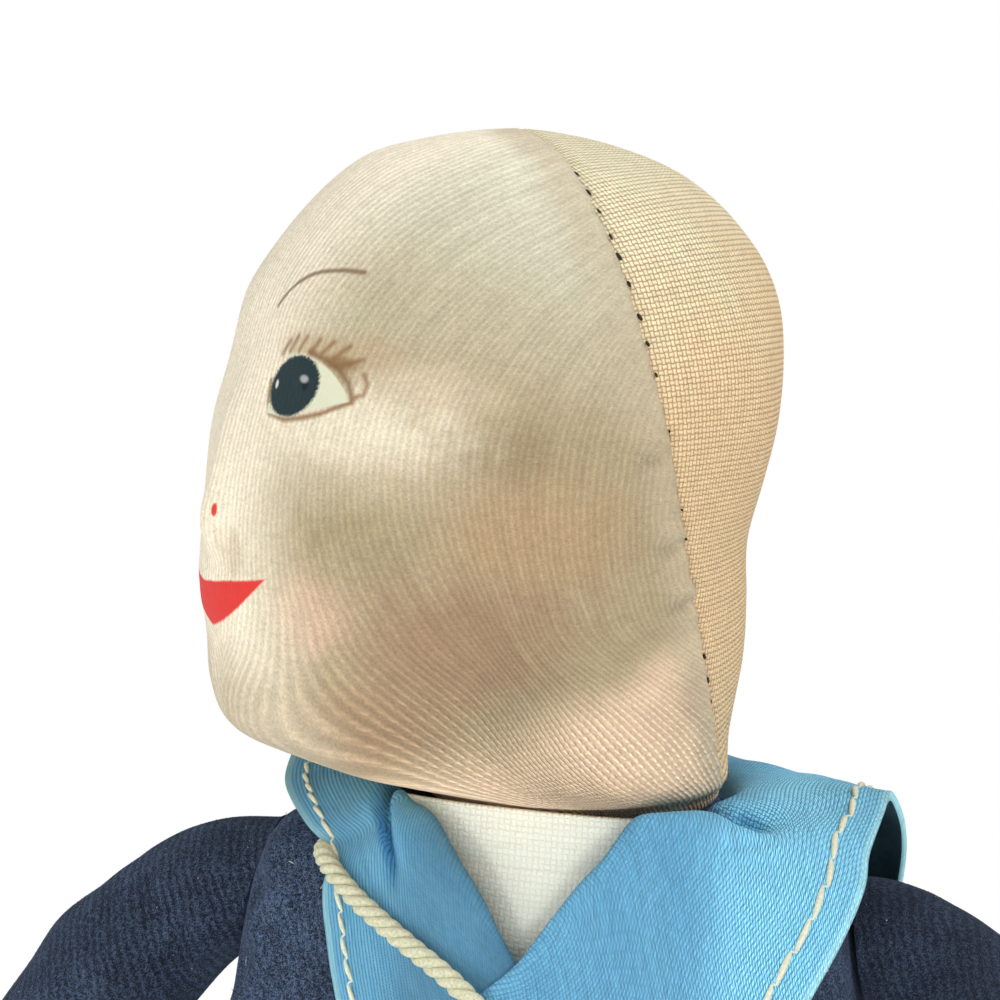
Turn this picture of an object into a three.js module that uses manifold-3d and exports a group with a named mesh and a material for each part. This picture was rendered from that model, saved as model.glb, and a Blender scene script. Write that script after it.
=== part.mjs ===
// A jointed cloth sailor doll. Millimetres, +Z up; it faces -Y and +X is its own left side.
import * as THREE from 'three';
import { mergeVertices } from 'three/addons/utils/BufferGeometryUtils.js';
import Module from 'manifold-3d';

const wasm = await Module();
wasm.setup();

// Main heights
const crotchHeight = 123.5;
const torsoHeight = 122;
const headHeight = 74.5;
const neckHeight = crotchHeight + torsoHeight;

// The neck axis stands this far behind the middle of the doll's box
const stance = 5.6;

// Clearances: between pieces that lie together, around a filling, and between the faces of a joint
const clear = 0.3;
const fillGap = 0.6;
const jointGap = 0.6;

// Cloth thicknesses
const headCloth = 1.2;
const velvet = 1.2;
const collarCloth = 1.1;
const dickeyCloth = 0.7;

// Dickey: half its width at the neck and at its foot, and how far it reaches down
const dickeyTop = 15.5;
const dickeyFoot = 5;
const dickeyDepth = 26;

// Joints
const neckRadius = 16.8;
const headTurn = THREE.MathUtils.degToRad(-55);
const shoulderHalf = 34.5;
const shoulderDrop = 14;
const shoulderTilt = THREE.MathUtils.degToRad(12);
const hipHalf = 17;
const hipTilt = THREE.MathUtils.degToRad(-45);

// Disc joint parts
const discThickness = 2;
const neckDisc = 13;
const shoulderDisc = 5;
const hipDisc = 11;
const washerRadius = 3.4;
const washerThickness = 0.6;
const pinRadius = 1.1;
const pinHeadRadius = 2.3;
const pinHeadHeight = 1.4;
const pinWire = 0.5;

// Arms and hands
const armSplay = THREE.MathUtils.degToRad(41);
const shoulderRun = 16;
const armSwing = THREE.MathUtils.degToRad(-8);
const sleeveLength = 74;
const sleeveRadius = 8;
const cuffFlare = 0.6;
const wristRadius = 5.6;
const wristDepth = 5;
const handLength = 25;

// Legs and shoes
const legCentre = 22;
const hemHeight = 12;
const kneeHeight = 70;
const toeReach = 29;
const heelReach = 15;
const footHalf = 12.3;
const soleThickness = 2.2;
const soleWelt = 0.6;
const ankleRadius = 9;
const ankleDepth = 6;

// Lanyard
const cordDiameter = 2.4;
const knotRadius = 2.9;

// Points around one ring of a skin, of a filling and of a joint disc
const skinSides = 24;
const fillSides = 14;
const discSides = 16;

const X = new THREE.Vector3(1, 0, 0);
const Y = new THREE.Vector3(0, 1, 0);
const Z = new THREE.Vector3(0, 0, 1);

// Solids from geometry and back
function solidOf(geometry) {
  const bare = new THREE.BufferGeometry();
  bare.setAttribute('position', geometry.getAttribute('position'));
  bare.setIndex(geometry.getIndex());
  const whole = mergeVertices(bare, 1e-4);
  const index = whole.getIndex().array;
  const triangles = [];
  for (let i = 0; i < index.length; i += 3) {
    const [a, b, c] = [index[i], index[i + 1], index[i + 2]];
    if (a !== b && b !== c && c !== a) triangles.push(a, b, c);
  }
  return new wasm.Manifold(new wasm.Mesh({
    numProp: 3,
    vertProperties: new Float32Array(whole.getAttribute('position').array),
    triVerts: new Uint32Array(triangles),
  }));
}

function geometryOf(solid) {
  const mesh = solid.getMesh();
  const positions = new Float32Array(mesh.numVert * 3);
  for (let i = 0; i < mesh.numVert; i += 1) {
    for (let k = 0; k < 3; k += 1) positions[3 * i + k] = mesh.vertProperties[mesh.numProp * i + k];
  }
  const geometry = new THREE.BufferGeometry();
  geometry.setAttribute('position', new THREE.BufferAttribute(positions, 3));
  geometry.setIndex(new THREE.BufferAttribute(new Uint32Array(mesh.triVerts), 1));
  geometry.computeVertexNormals();
  return geometry;
}

function moved(geometry, matrix) {
  return solidOf(geometry.clone().applyMatrix4(matrix));
}

// Closed skin over rings of equal point counts, each counter-clockwise seen from the last ring's end
function loft(rings) {
  const count = rings[0].length;
  const last = (rings.length - 1) * count;
  const positions = [];
  const index = [];
  for (const points of rings) {
    for (const point of points) positions.push(point.x, point.y, point.z);
  }
  for (const points of [rings[0], rings[rings.length - 1]]) {
    const middle = points.reduce((sum, point) => sum.add(point), new THREE.Vector3());
    middle.divideScalar(count);
    positions.push(middle.x, middle.y, middle.z);
  }
  const firstMiddle = rings.length * count;
  for (let j = 0; j < count; j += 1) {
    const next = (j + 1) % count;
    for (let base = 0; base < last; base += count) {
      index.push(base + j, base + next, base + count + next);
      index.push(base + j, base + count + next, base + count + j);
    }
    index.push(firstMiddle, next, j);
    index.push(firstMiddle + 1, last + j, last + next);
  }
  const geometry = new THREE.BufferGeometry();
  geometry.setAttribute('position', new THREE.Float32BufferAttribute(positions, 3));
  geometry.setIndex(index);
  return geometry;
}

// Oval ring in the plane of two directions; the squareness 2 gives an ellipse
function oval(middle, across, along, halfAcross, halfAlong, sides, squareness = 2) {
  const power = 2 / squareness;
  return Array.from({ length: sides }, (_, k) => {
    const angle = (2 * Math.PI * k) / sides;
    const a = Math.sign(Math.cos(angle)) * Math.abs(Math.cos(angle)) ** power;
    const b = Math.sign(Math.sin(angle)) * Math.abs(Math.sin(angle)) ** power;
    return middle.clone().addScaledVector(across, a * halfAcross).addScaledVector(along, b * halfAlong);
  });
}

// Upright sections: height, then reach to the front, to the back and to each side of a centre
function levels(sections, sides, squareness, centre = 0) {
  return sections.map(([height, front, back, side]) => {
    const middle = new THREE.Vector3(centre, (back - front) / 2, height);
    return oval(middle, X, Y, side, (front + back) / 2, sides, squareness);
  });
}

// Rings moved inward by a wall, square to the skin; the end rings also move along the run
function inset(rings, wall) {
  const last = rings.length - 1;
  return rings.map((points, i) => {
    const count = points.length;
    const run = points[1].clone().sub(points[0]).cross(points[2].clone().sub(points[1])).normalize();
    return points.map((point, j) => {
      const turn = points[(j + 1) % count].clone().sub(points[(j + count - 1) % count]);
      const rise = rings[Math.min(i + 1, last)][j].clone().sub(rings[Math.max(i - 1, 0)][j]);
      const normal = turn.cross(rise).normalize();
      if (i > 0 && i < last) return point.clone().addScaledVector(normal, -wall);
      normal.addScaledVector(run, -normal.dot(run)).normalize();
      return point.clone().addScaledVector(normal, -wall).addScaledVector(run, i === 0 ? wall : -wall);
    });
  });
}

// Solid turned about Z from radius and height pairs
function turned(outline, sides) {
  const points = outline.map(([radius, height]) => new THREE.Vector2(radius, height));
  return new THREE.LatheGeometry(points, sides).rotateX(Math.PI / 2);
}

function rod(radius, low, high, sides = 12) {
  return turned([[0, low], [radius, low], [radius, high], [0, high]], sides);
}

function plate(inner, outer, low, high, sides) {
  return turned([[inner, low], [outer, low], [outer, high], [inner, high], [inner, low]], sides);
}

// Block that fills everything past a plane
function beyond(point, normal, distance) {
  const size = 500;
  const block = new THREE.BoxGeometry(size, size, size).translate(0, 0, size / 2 + distance);
  block.applyQuaternion(new THREE.Quaternion().setFromUnitVectors(Z, normal));
  return solidOf(block.translate(point.x, point.y, point.z));
}

// Prism from an outline drawn on a front view, reaching forward from the middle
function frontPrism(corners, depth) {
  const shape = new THREE.Shape(corners.map(([x, z]) => new THREE.Vector2(x, z)));
  const geometry = new THREE.ExtrudeGeometry(shape, { depth, bevelEnabled: false });
  return moved(geometry, new THREE.Matrix4().makeBasis(X, Z, Y.clone().negate()));
}

// Prism from an outline drawn on a side view, the same to both sides
function sidePrism(points, width) {
  const shape = new THREE.Shape(points);
  const geometry = new THREE.ExtrudeGeometry(shape, { depth: width, bevelEnabled: false });
  geometry.translate(0, 0, -width / 2);
  return moved(geometry, new THREE.Matrix4().makeBasis(Y, Z, X));
}

// Disc joint about its own Z, with the torso below zero and the limb above
function discJoint(discRadius, limbCloth, torsoCloth) {
  const hole = pinRadius + clear;
  const stack = (cloth) => {
    const face = jointGap / 2 + cloth;
    const disc = face + clear;
    const washer = disc + discThickness + clear;
    const end = washer + washerThickness + clear;
    return { face, disc, washer, end };
  };
  const limb = stack(limbCloth);
  const torso = stack(torsoCloth);
  const pocket = (side) => turned([
    [0, side.face - clear],
    [discRadius + clear, side.face - clear],
    [discRadius + clear, side.washer],
    [washerRadius + clear, side.washer],
    [washerRadius + clear, side.end + pinHeadHeight + clear],
    [0, side.end + pinHeadHeight + clear],
  ], discSides);
  const under = new THREE.Matrix4().makeRotationX(Math.PI);
  const tail = -torso.end - pinHeadHeight;
  const shank = solidOf(turned([
    [0, -torso.end - pinWire],
    [pinRadius, -torso.end - pinWire],
    [pinRadius, limb.end],
    [pinHeadRadius, limb.end],
    [pinHeadRadius * 0.8, limb.end + pinHeadHeight * 0.7],
    [0, limb.end + pinHeadHeight],
  ], 10));
  const legs = [1, -1].map((side) => {
    const bend = new THREE.CatmullRomCurve3([
      new THREE.Vector3(side * pinWire, 0, -torso.washer),
      new THREE.Vector3(side * pinWire * 1.4, 0, tail + pinWire * 1.6),
      new THREE.Vector3(side * pinRadius * 1.9, 0, tail + pinWire),
      new THREE.Vector3(side * (washerRadius - pinWire), 0, -torso.end - pinWire - clear),
    ]);
    const wire = new THREE.Shape(new THREE.Path().absarc(0, 0, pinWire, 0, 2 * Math.PI).getPoints(1.25));
    return solidOf(new THREE.ExtrudeGeometry(wire, { steps: 5, bevelEnabled: false, extrudePath: bend }));
  });
  return {
    limbDisc: plate(hole, discRadius, limb.disc, limb.disc + discThickness, discSides),
    limbWasher: plate(hole, washerRadius, limb.washer, limb.washer + washerThickness, 10),
    torsoDisc: plate(hole, discRadius, -torso.disc - discThickness, -torso.disc, discSides),
    torsoWasher: plate(hole, washerRadius, -torso.washer - washerThickness, -torso.washer, 10),
    pin: geometryOf(shank.add(legs[0]).add(legs[1])),
    limbHole: rod(hole, 0, limb.disc),
    torsoHole: rod(hole, -torso.disc, 0),
    limbPocket: pocket(limb),
    torsoPocket: pocket(torso).applyMatrix4(under),
  };
}

// Stuffed bag: cloth skin and the filling inside it, cut by flat joint faces
function bag(skinRings, fillRings, cloth, faces, holes, pockets) {
  const trim = (solid, depth) => faces.reduce(
    (kept, face) => kept.subtract(beyond(face.point, face.normal, -depth)), solid);
  const hollow = trim(solidOf(loft(inset(skinRings, cloth))), jointGap / 2 + cloth);
  const outer = trim(solidOf(loft(skinRings)), jointGap / 2);
  const filling = trim(solidOf(loft(inset(fillRings, cloth + fillGap))), jointGap / 2 + cloth + clear);
  return {
    skin: holes.reduce((kept, hole) => kept.subtract(hole), outer.subtract(hollow)),
    filling: pockets.reduce((kept, pocket) => kept.subtract(pocket), filling),
  };
}

// Joint frames: Z runs from the torso into the limb and X points down or forward
function jointFrame(x, height, tilt) {
  const axis = new THREE.Vector3(Math.sign(x) * Math.cos(tilt), 0, Math.sin(tilt));
  const down = new THREE.Vector3(Math.sign(x) * Math.sin(tilt), 0, -Math.cos(tilt));
  const matrix = new THREE.Matrix4().makeBasis(down, axis.clone().cross(down), axis);
  const point = new THREE.Vector3(x, 0, height);
  return { point, axis, matrix: matrix.setPosition(point) };
}

const shoulderHeight = neckHeight - shoulderDrop;
const hipHeight = crotchHeight + hipHalf * Math.tan(-hipTilt);
const leftShoulder = jointFrame(shoulderHalf, shoulderHeight, shoulderTilt);
const rightShoulder = jointFrame(-shoulderHalf, shoulderHeight, shoulderTilt);
const leftHip = jointFrame(hipHalf, hipHeight, hipTilt);
const rightHip = jointFrame(-hipHalf, hipHeight, hipTilt);
const neck = { point: new THREE.Vector3(0, 0, neckHeight), axis: Z.clone() };
neck.matrix = new THREE.Matrix4().setPosition(neck.point);

const neckJoint = discJoint(neckDisc, headCloth, velvet);
const shoulderJoint = discJoint(shoulderDisc, velvet, velvet);
const hipJoint = discJoint(hipDisc, velvet, velvet);

// Head, from its neck face up, with its face towards -Y before it is turned
const base = jointGap / 2;
const headSections = [
  [base, neckRadius - 0.8, neckRadius - 0.8, neckRadius - 0.8],
  [base + 0.8, neckRadius, neckRadius, neckRadius],
  [2.2, 17.9, 16.9, 17.6],
  [3.2, 20.2, 16.8, 20.2],
  [4.3, 24.4, 16.8, 23.4],
  [5.6, 30, 16.8, 24.9],
  [7.2, 35.8, 16.8, 25.7],
  [9.5, 39.3, 16.8, 26.3],
  [13, 40.9, 17, 27.1],
  [18, 41.6, 17.4, 28.2],
  [25, 42.7, 17.5, 29.5],
  [32, 42.8, 17.2, 30.5],
  [38, 42.3, 18.4, 31],
  [45, 41, 19.8, 31],
  [51, 39.6, 20.2, 30],
  [56, 38.1, 19.8, 28.3],
  [61, 35.5, 17.9, 25.8],
  [65.5, 32.1, 14.6, 22.3],
  [headHeight - 4.6, 26.9, 9, 17],
  [headHeight - 1.8, 20.8, 1.4, 10.6],
  [headHeight - 0.3, 14.6, -6.8, 3.9],
];
const headSquareness = 2.1;
const headBag = bag(
  levels(headSections, skinSides, headSquareness),
  levels(headSections, fillSides, headSquareness),
  headCloth,
  [],
  [solidOf(neckJoint.limbHole)],
  [solidOf(neckJoint.limbPocket)],
);

// The seam runs from the nape over the ears to the crown, as a curve on the side view
const seam = new THREE.QuadraticBezierCurve(
  new THREE.Vector2(14.2, -1),
  new THREE.Vector2(-5.4, 38),
  new THREE.Vector2(-10, headHeight + 1),
).getPoints(10);
const far = 70;
const seamEdge = (shift) => seam.map((point) => new THREE.Vector2(point.x + shift, point.y));
const faceSide = sidePrism([
  ...seamEdge(-clear / 2),
  new THREE.Vector2(-far, headHeight + 1),
  new THREE.Vector2(-far, -1),
], 2 * far);
const napeSide = sidePrism([
  ...seamEdge(clear / 2).reverse(),
  new THREE.Vector2(far, -1),
  new THREE.Vector2(far, headHeight + 1),
], 2 * far);

// Torso, listed from the crotch up to the neck face
const fromCrotch = (rise) => crotchHeight + rise;
const fromNeck = (drop) => neckHeight - drop;
const torsoSections = [
  [fromCrotch(-4), 13, 13, 16],
  [fromCrotch(5), 19, 18, 26],
  [fromCrotch(18), 23.5, 21.5, 33],
  [fromCrotch(34), 25.5, 22.5, 35.5],
  [fromCrotch(54), 26, 22, 35.5],
  [fromNeck(45), 25, 21, shoulderHalf + 2.5],
  [fromNeck(26), 23, 20.2, shoulderHalf + 4],
  [fromNeck(shoulderDrop), 21, 19.6, shoulderHalf + 4.3],
  [fromNeck(8), 19.6, 19, shoulderHalf + 2.9],
  [fromNeck(5), 18.8, 18.4, shoulderHalf - 1],
  [fromNeck(3.6), neckRadius + 1.4, neckRadius + 1.2, neckRadius + 10.2],
  [fromNeck(2.4), neckRadius + 0.5, neckRadius + 0.4, neckRadius + 1.6],
  [fromNeck(jointGap / 2), neckRadius, neckRadius, neckRadius],
];
const torsoSquareness = 2.35;
const torsoRings = levels(torsoSections, skinSides, torsoSquareness);
const torsoJoints = [
  [neck, neckJoint],
  [leftShoulder, shoulderJoint],
  [rightShoulder, shoulderJoint],
  [leftHip, hipJoint],
  [rightHip, hipJoint],
];
const torsoBag = bag(
  torsoRings,
  levels(torsoSections, fillSides, torsoSquareness),
  velvet,
  [leftShoulder, rightShoulder, leftHip, rightHip].map(({ point, axis }) => ({ point, normal: axis })),
  torsoJoints.map(([frame, joint]) => moved(joint.torsoHole, frame.matrix)),
  torsoJoints.map(([frame, joint]) => moved(joint.torsoPocket, frame.matrix)),
);

// Dickey: a thin panel that hugs the chest below the neck
const dickeyOutline = [
  [-dickeyTop, fromNeck(jointGap + clear)],
  [-dickeyFoot, fromNeck(dickeyDepth)],
  [dickeyFoot, fromNeck(dickeyDepth)],
  [dickeyTop, fromNeck(jointGap + clear)],
];
const dickey = solidOf(loft(inset(torsoRings, -clear - dickeyCloth)))
  .subtract(solidOf(loft(inset(torsoRings, -clear))))
  .intersect(frontPrism(dickeyOutline, far));

// Collar: columns from the left lapel's tip round the back to the right lapel's tip.
// Each column runs from the sewn edge over the roll and the middle to the outer edge, from the neck face.
const collarColumns = [
  [[-2.8, -25.4, -19.6], [-3.5, -27.2, -17.6], [-1.6, -28.8, -31], [-1, -28.6, -46]],
  [[2.6, -25, -14.4], [1.6, -27.2, -12.7], [8, -27.8, -25], [13, -27.2, -41]],
  [[6.6, -24, -9.4], [5.2, -26.2, -6.9], [15, -26.8, -18.6], [24.5, -25.6, -31]],
  [[10.4, -22.2, -4.8], [9, -24.8, -1.8], [20.4, -25.2, -9], [31.6, -23.2, -14.6]],
  [[13.4, -18.2, -1.6], [12.6, -21.8, 3.2], [24, -22.4, -3.4], [34.4, -19, -8.3]],
  [[15.2, -13.8, -1.2], [17, -17, 3.3], [27, -16.8, -0.2], [35.6, -14, -4]],
  [[16.2, -11.7, -1.2], [17.4, -12.2, -0.6], [27.8, -12.4, 1.2], [35.5, -9.4, -1.2]],
  [[16.8, -9, -1.2], [18.6, -9.4, 2], [29, -8, 2.1], [36, -3.4, 1.2]],
  [[18.5, 0, -1.2], [20.2, 0.2, 1.8], [30.6, 1.4, 2.9], [36.2, 4, 2.2]],
  [[16.7, 8, -0.6], [18.5, 9.2, 1.6], [30, 11, 1], [36.8, 12.6, -4]],
  [[12.8, 13.4, -0.6], [13.6, 16, 1.4], [25.4, 20.4, -3.4], [36.2, 17.4, -12]],
  [[7, 17.2, -1.2], [7, 19.8, 2.2], [19.4, 23.4, -13], [33, 20.6, -30]],
  [[2.4, 18.4, -1.2], [2.2, 20.8, 2.2], [11, 24.2, -22], [31.6, 20.8, -55]],
  [[0, 18.5, -1.2], [0, 20.9, 2.2], [0, 24.6, -22], [0, 24.6, -56]],
  [[-2.4, 18.4, -1.2], [-2.2, 20.8, 2.2], [-11, 24.2, -22], [-31.6, 20.8, -55]],
  [[-7, 17.2, -1.2], [-7, 19.8, 2.2], [-19.4, 23.4, -13], [-33, 20.6, -30]],
  [[-12.8, 13.4, -0.6], [-13.6, 16, 2.2], [-23.4, 20, -2], [-34, 18, -12]],
  [[-16.7, 8, -0.6], [-18.3, 9.8, 2.1], [-27, 10.5, 1.9], [-34.6, 9.8, -2.4]],
  [[-18.5, 0, -1.2], [-20.5, 0, 1.9], [-28, -0.6, 2.5], [-33.4, -1, 1.4]],
  [[-17.4, -8.8, -1.2], [-18.2, -9.8, 1.7], [-25.2, -10, 1.5], [-29.9, -9.8, -0.4]],
  [[-15, -14.8, -1.2], [-15, -16.4, 1.7], [-20.8, -17.6, -0.2], [-25.4, -16.2, -2.6]],
  [[-12.8, -16.8, -2], [-13.2, -19, 1.6], [-17.8, -20.6, -1.8], [-21.6, -19.4, -4.6]],
  [[-10.6, -19.4, -3.2], [-10.8, -21.4, 1], [-16.2, -23, -4.2], [-21.5, -21.9, -8.8]],
  [[-7.4, -22.4, -5.2], [-7.4, -24.2, -1.8], [-13, -25.4, -9.4], [-19.3, -25, -17]],
  [[-3.2, -24, -10.2], [-2.8, -25.7, -8], [-8.4, -26.6, -18], [-15, -26.8, -30]],
  [[0.6, -24.6, -15.4], [0.8, -26, -13.6], [-2.4, -26.9, -28], [-4, -27, -46]],
];
const collarRun = 42;
const collarDrop = 7;
const evenly = (curve, steps) => Array.from({ length: steps + 1 }, (_, k) => curve.getPoint(k / steps));
const spline = (points) => new THREE.CatmullRomCurve3(points, false, 'centripetal');
const collarRows = [0, 1, 2, 3].map((row) => evenly(spline(
  collarColumns.map((column) => new THREE.Vector3(...column[row]).add(neck.point))), collarRun));
const collarGrid = collarRows[0].map((_, k) => evenly(spline(collarRows.map((row) => row[k])), collarDrop));

// Direction square to a sheet at one of its grid points
function gridNormal(grid, i, j) {
  const at = (a, b) => grid[THREE.MathUtils.clamp(a, 0, grid.length - 1)][THREE.MathUtils.clamp(b, 0, grid[0].length - 1)];
  const along = at(i + 1, j).clone().sub(at(i - 1, j));
  const down = at(i, j + 1).clone().sub(at(i, j - 1));
  return down.cross(along).normalize();
}

// Sheet of even thickness over a grid of points
function sheet(grid, thickness) {
  const columns = grid.length;
  const rows = grid[0].length;
  const positions = [];
  for (const side of [0.5, -0.5]) {
    grid.forEach((points, i) => points.forEach((point, j) => {
      const p = point.clone().addScaledVector(gridNormal(grid, i, j), side * thickness);
      positions.push(p.x, p.y, p.z);
    }));
  }
  const top = (i, j) => i * rows + j;
  const low = (i, j) => columns * rows + top(i, j);
  const index = [];
  const quad = (a, b, c, d) => index.push(a, b, c, a, c, d);
  for (let i = 0; i + 1 < columns; i += 1) {
    for (let j = 0; j + 1 < rows; j += 1) {
      quad(top(i, j), top(i, j + 1), top(i + 1, j + 1), top(i + 1, j));
      quad(low(i, j), low(i + 1, j), low(i + 1, j + 1), low(i, j + 1));
    }
    quad(top(i, 0), top(i + 1, 0), low(i + 1, 0), low(i, 0));
    quad(top(i, rows - 1), low(i, rows - 1), low(i + 1, rows - 1), top(i + 1, rows - 1));
  }
  for (let j = 0; j + 1 < rows; j += 1) {
    quad(top(0, j), low(0, j), low(0, j + 1), top(0, j + 1));
    quad(top(columns - 1, j), top(columns - 1, j + 1), low(columns - 1, j + 1), low(columns - 1, j));
  }
  const geometry = new THREE.BufferGeometry();
  geometry.setAttribute('position', new THREE.Float32BufferAttribute(positions, 3));
  geometry.setIndex(index);
  return geometry;
}

// Lanyard: out from under the right lapel's edge, over the lapel to the neck opening, then hanging free
const cordPoints = [
  [-22.8, -18, -6.6],
  [-23.9, -19.6, -6.2],
  [-23.6, -21.8, -6.3],
  [-22.2, -23.8, -6.8],
  [-19.9, -25.2, -7.3],
  [-17, -26, -7.6],
  [-14, -27.3, -9.4],
  [-10.6, -28.2, -11.4],
  [-7.4, -28.8, -13.2],
  [-4.4, -29.7, -15],
  [-1.8, -30.3, -17.2],
  [0.2, -30.6, -20.2],
  [1.4, -30.8, -24],
  [1.9, -30.9, -28.6],
  [2, -31, -34],
  [1.8, -31, -40],
  [1.6, -31, -46],
  [1.4, -31, -52],
  [1.3, -31, -57.5],
].map((point) => new THREE.Vector3(...point).add(neck.point));
const cordPath = new THREE.CatmullRomCurve3(cordPoints);
const cordRound = new THREE.Shape(
  new THREE.Path().absarc(0, 0, cordDiameter / 2, 0, 2 * Math.PI).getPoints(2));
const cord = new THREE.ExtrudeGeometry(cordRound, { steps: 30, bevelEnabled: false, extrudePath: cordPath });
const knotCentre = cordPoints[cordPoints.length - 1].clone();
knotCentre.z -= knotRadius + clear;
const knot = new THREE.SphereGeometry(knotRadius, 10, 7).rotateX(Math.PI / 2);

// Arm, in its shoulder's frame
const armTilt = Math.PI / 2 - armSplay + shoulderTilt;
const armRun = new THREE.Vector3(Math.sin(armTilt), 0, Math.cos(armTilt));
const cuff = armRun.clone().multiplyScalar(sleeveLength);
const armPath = new THREE.CubicBezierCurve3(
  new THREE.Vector3(0, 0, -4),
  new THREE.Vector3(0, 0, shoulderRun),
  cuff.clone().addScaledVector(armRun, -0.5 * sleeveLength),
  cuff,
);
const armStations = [
  [0, 0],
  [0.1, 0],
  [0.2, 0.1],
  [0.34, 0.2],
  [0.5, 0.3],
  [0.66, 0.1],
  [0.84, 0.1],
  [1, cuffFlare],
];
const armRings = (sides) => armStations.map(([t, swell]) => {
  const tangent = armPath.getTangent(t);
  const radius = sleeveRadius + swell;
  return oval(armPath.getPoint(t), Y, tangent.clone().cross(Y), radius, radius, sides);
});
const cuffFrame = new THREE.Matrix4().makeBasis(Y, armRun.clone().cross(Y), armRun).setPosition(cuff);
const armBag = bag(
  armRings(16),
  armRings(12),
  velvet,
  [{ point: new THREE.Vector3(), normal: Z.clone().negate() }],
  [solidOf(shoulderJoint.limbHole), moved(rod(wristRadius + clear, -2 * velvet, velvet), cuffFrame)],
  [solidOf(shoulderJoint.limbPocket), moved(rod(wristRadius + clear, -wristDepth - clear, 0), cuffFrame)],
);

// Hand: a stuffed mitt with a thumb, in the cuff's frame
const handSections = [
  [-wristDepth, wristRadius, wristRadius],
  [clear, wristRadius, wristRadius],
  [0.25 * handLength, 5.6, 7.4],
  [0.5 * handLength, 5.3, 8.2],
  [0.75 * handLength, 4.6, 7.6],
  [0.92 * handLength, 3.2, 5.2],
  [handLength, 1.2, 2],
];
const mitt = solidOf(loft(handSections.map(
  ([z, thick, wide]) => oval(new THREE.Vector3(0, 0, z), X, Y, wide, thick, 12))));
const thumb = new THREE.SphereGeometry(1, 10, 8).scale(2.6, 2.8, 6.6).rotateY(-0.45);
const hand = mitt.add(solidOf(thumb.translate(-7.2, 0, 0.42 * handLength)));

// Leg, from the hem to the hip face
const fromHip = (rise) => hipHeight + rise;
const legSections = [
  [hemHeight, 22, 20, 19],
  [hemHeight + 12, 20.5, 18.6, 18.2],
  [hemHeight + 34, 18.4, 17.4, 16.8],
  [kneeHeight, 18.4, 17.8, 16.2],
  [fromCrotch(-24), 20, 19.2, 16.4],
  [fromHip(-4), 22, 20.4, 17.2],
  [fromHip(14), 20.5, 19.4, 16],
  [fromHip(25), 15, 14, 11.5],
];
const legSquareness = 2.15;
const ankleMiddle = new THREE.Matrix4().makeTranslation(legCentre, 1, hemHeight);
const legBag = bag(
  levels(legSections, 20, legSquareness, legCentre),
  levels(legSections, fillSides, legSquareness, legCentre),
  velvet,
  [{ point: leftHip.point, normal: leftHip.axis.clone().negate() }],
  [moved(hipJoint.limbHole, leftHip.matrix), moved(rod(ankleRadius + fillGap, -1, 2 * velvet, 16), ankleMiddle)],
  [moved(hipJoint.limbPocket, leftHip.matrix), moved(rod(ankleRadius + fillGap, 0, ankleDepth + clear, 16), ankleMiddle)],
);

// Shoe: a stuffed upper with its ankle in the leg, on a flat sole
const ankleFront = ankleRadius - 1;
const ankleBack = ankleRadius + 1;
const shoeSections = [
  [soleThickness + clear, toeReach, heelReach, footHalf],
  [hemHeight - 5.5, toeReach - 1, heelReach + 0.2, footHalf + 0.3],
  [hemHeight - 2.6, toeReach - 9, heelReach - 1.4, footHalf - 0.9],
  [hemHeight - 0.6, ankleFront, ankleBack, ankleRadius],
  [hemHeight + ankleDepth, ankleFront, ankleBack, ankleRadius],
];
const shoe = loft(levels(shoeSections, 16, 2.1, legCentre));
const soleReach = [toeReach, heelReach, footHalf].map((reach) => reach + soleWelt);
const sole = loft(levels([[0, ...soleReach], [soleThickness, ...soleReach]], 20, 2.1, legCentre));

// Materials
const finish = (color, roughness, metalness = 0) => new THREE.MeshStandardMaterial({ color, roughness, metalness });
const stockinette = () => finish(0xdfd0b4, 0.9);
const calico = () => finish(0xdcc7a3, 0.9);
const blueCotton = () => finish(0x5d9cc0, 0.85);
const creamCotton = () => finish(0xe2e9d6, 0.9);
const navyVelvet = () => finish(0x3a485d, 0.95);
const stuffing = () => finish(0xe8e0cc, 1);
const fibreboard = () => finish(0x8a6a48, 0.85);
const steel = () => finish(0x9a9a98, 0.4, 1);
const blackCloth = () => finish(0x23242a, 0.8);

function piece(name, shape, material) {
  const geometry = shape instanceof THREE.BufferGeometry ? shape : geometryOf(shape);
  const mesh = new THREE.Mesh(geometry, material);
  mesh.name = name;
  return mesh;
}

function framed(matrix, ...pieces) {
  const group = new THREE.Group();
  matrix.decompose(group.position, group.quaternion, group.scale);
  if (pieces.length) group.add(...pieces);
  return group;
}

const doll = new THREE.Group();
doll.name = 'sailor_doll';
doll.position.y = stance;

doll.add(
  piece('torso_cover', torsoBag.skin, navyVelvet()),
  piece('torso_stuffing', torsoBag.filling, stuffing()),
  piece('dickey', dickey, creamCotton()),
  piece('collar', sheet(collarGrid, collarCloth), blueCotton()),
  piece('lanyard', cord, creamCotton()),
);
doll.add(framed(new THREE.Matrix4().setPosition(knotCentre), piece('lanyard_knot', knot, creamCotton())));

// Head and the neck's hardware
const head = framed(
  neck.matrix,
  piece('face_panel', headBag.skin.intersect(faceSide), stockinette()),
  piece('nape_panel', headBag.skin.intersect(napeSide), calico()),
  piece('head_stuffing', headBag.filling, stuffing()),
  piece('neck_head_disc', neckJoint.limbDisc, fibreboard()),
  piece('neck_head_washer', neckJoint.limbWasher, steel()),
);
head.rotation.z = headTurn;
doll.add(head);
doll.add(framed(
  neck.matrix,
  piece('neck_torso_disc', neckJoint.torsoDisc, fibreboard()),
  piece('neck_torso_washer', neckJoint.torsoWasher, steel()),
  piece('neck_pin', neckJoint.pin, steel()),
));

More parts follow.
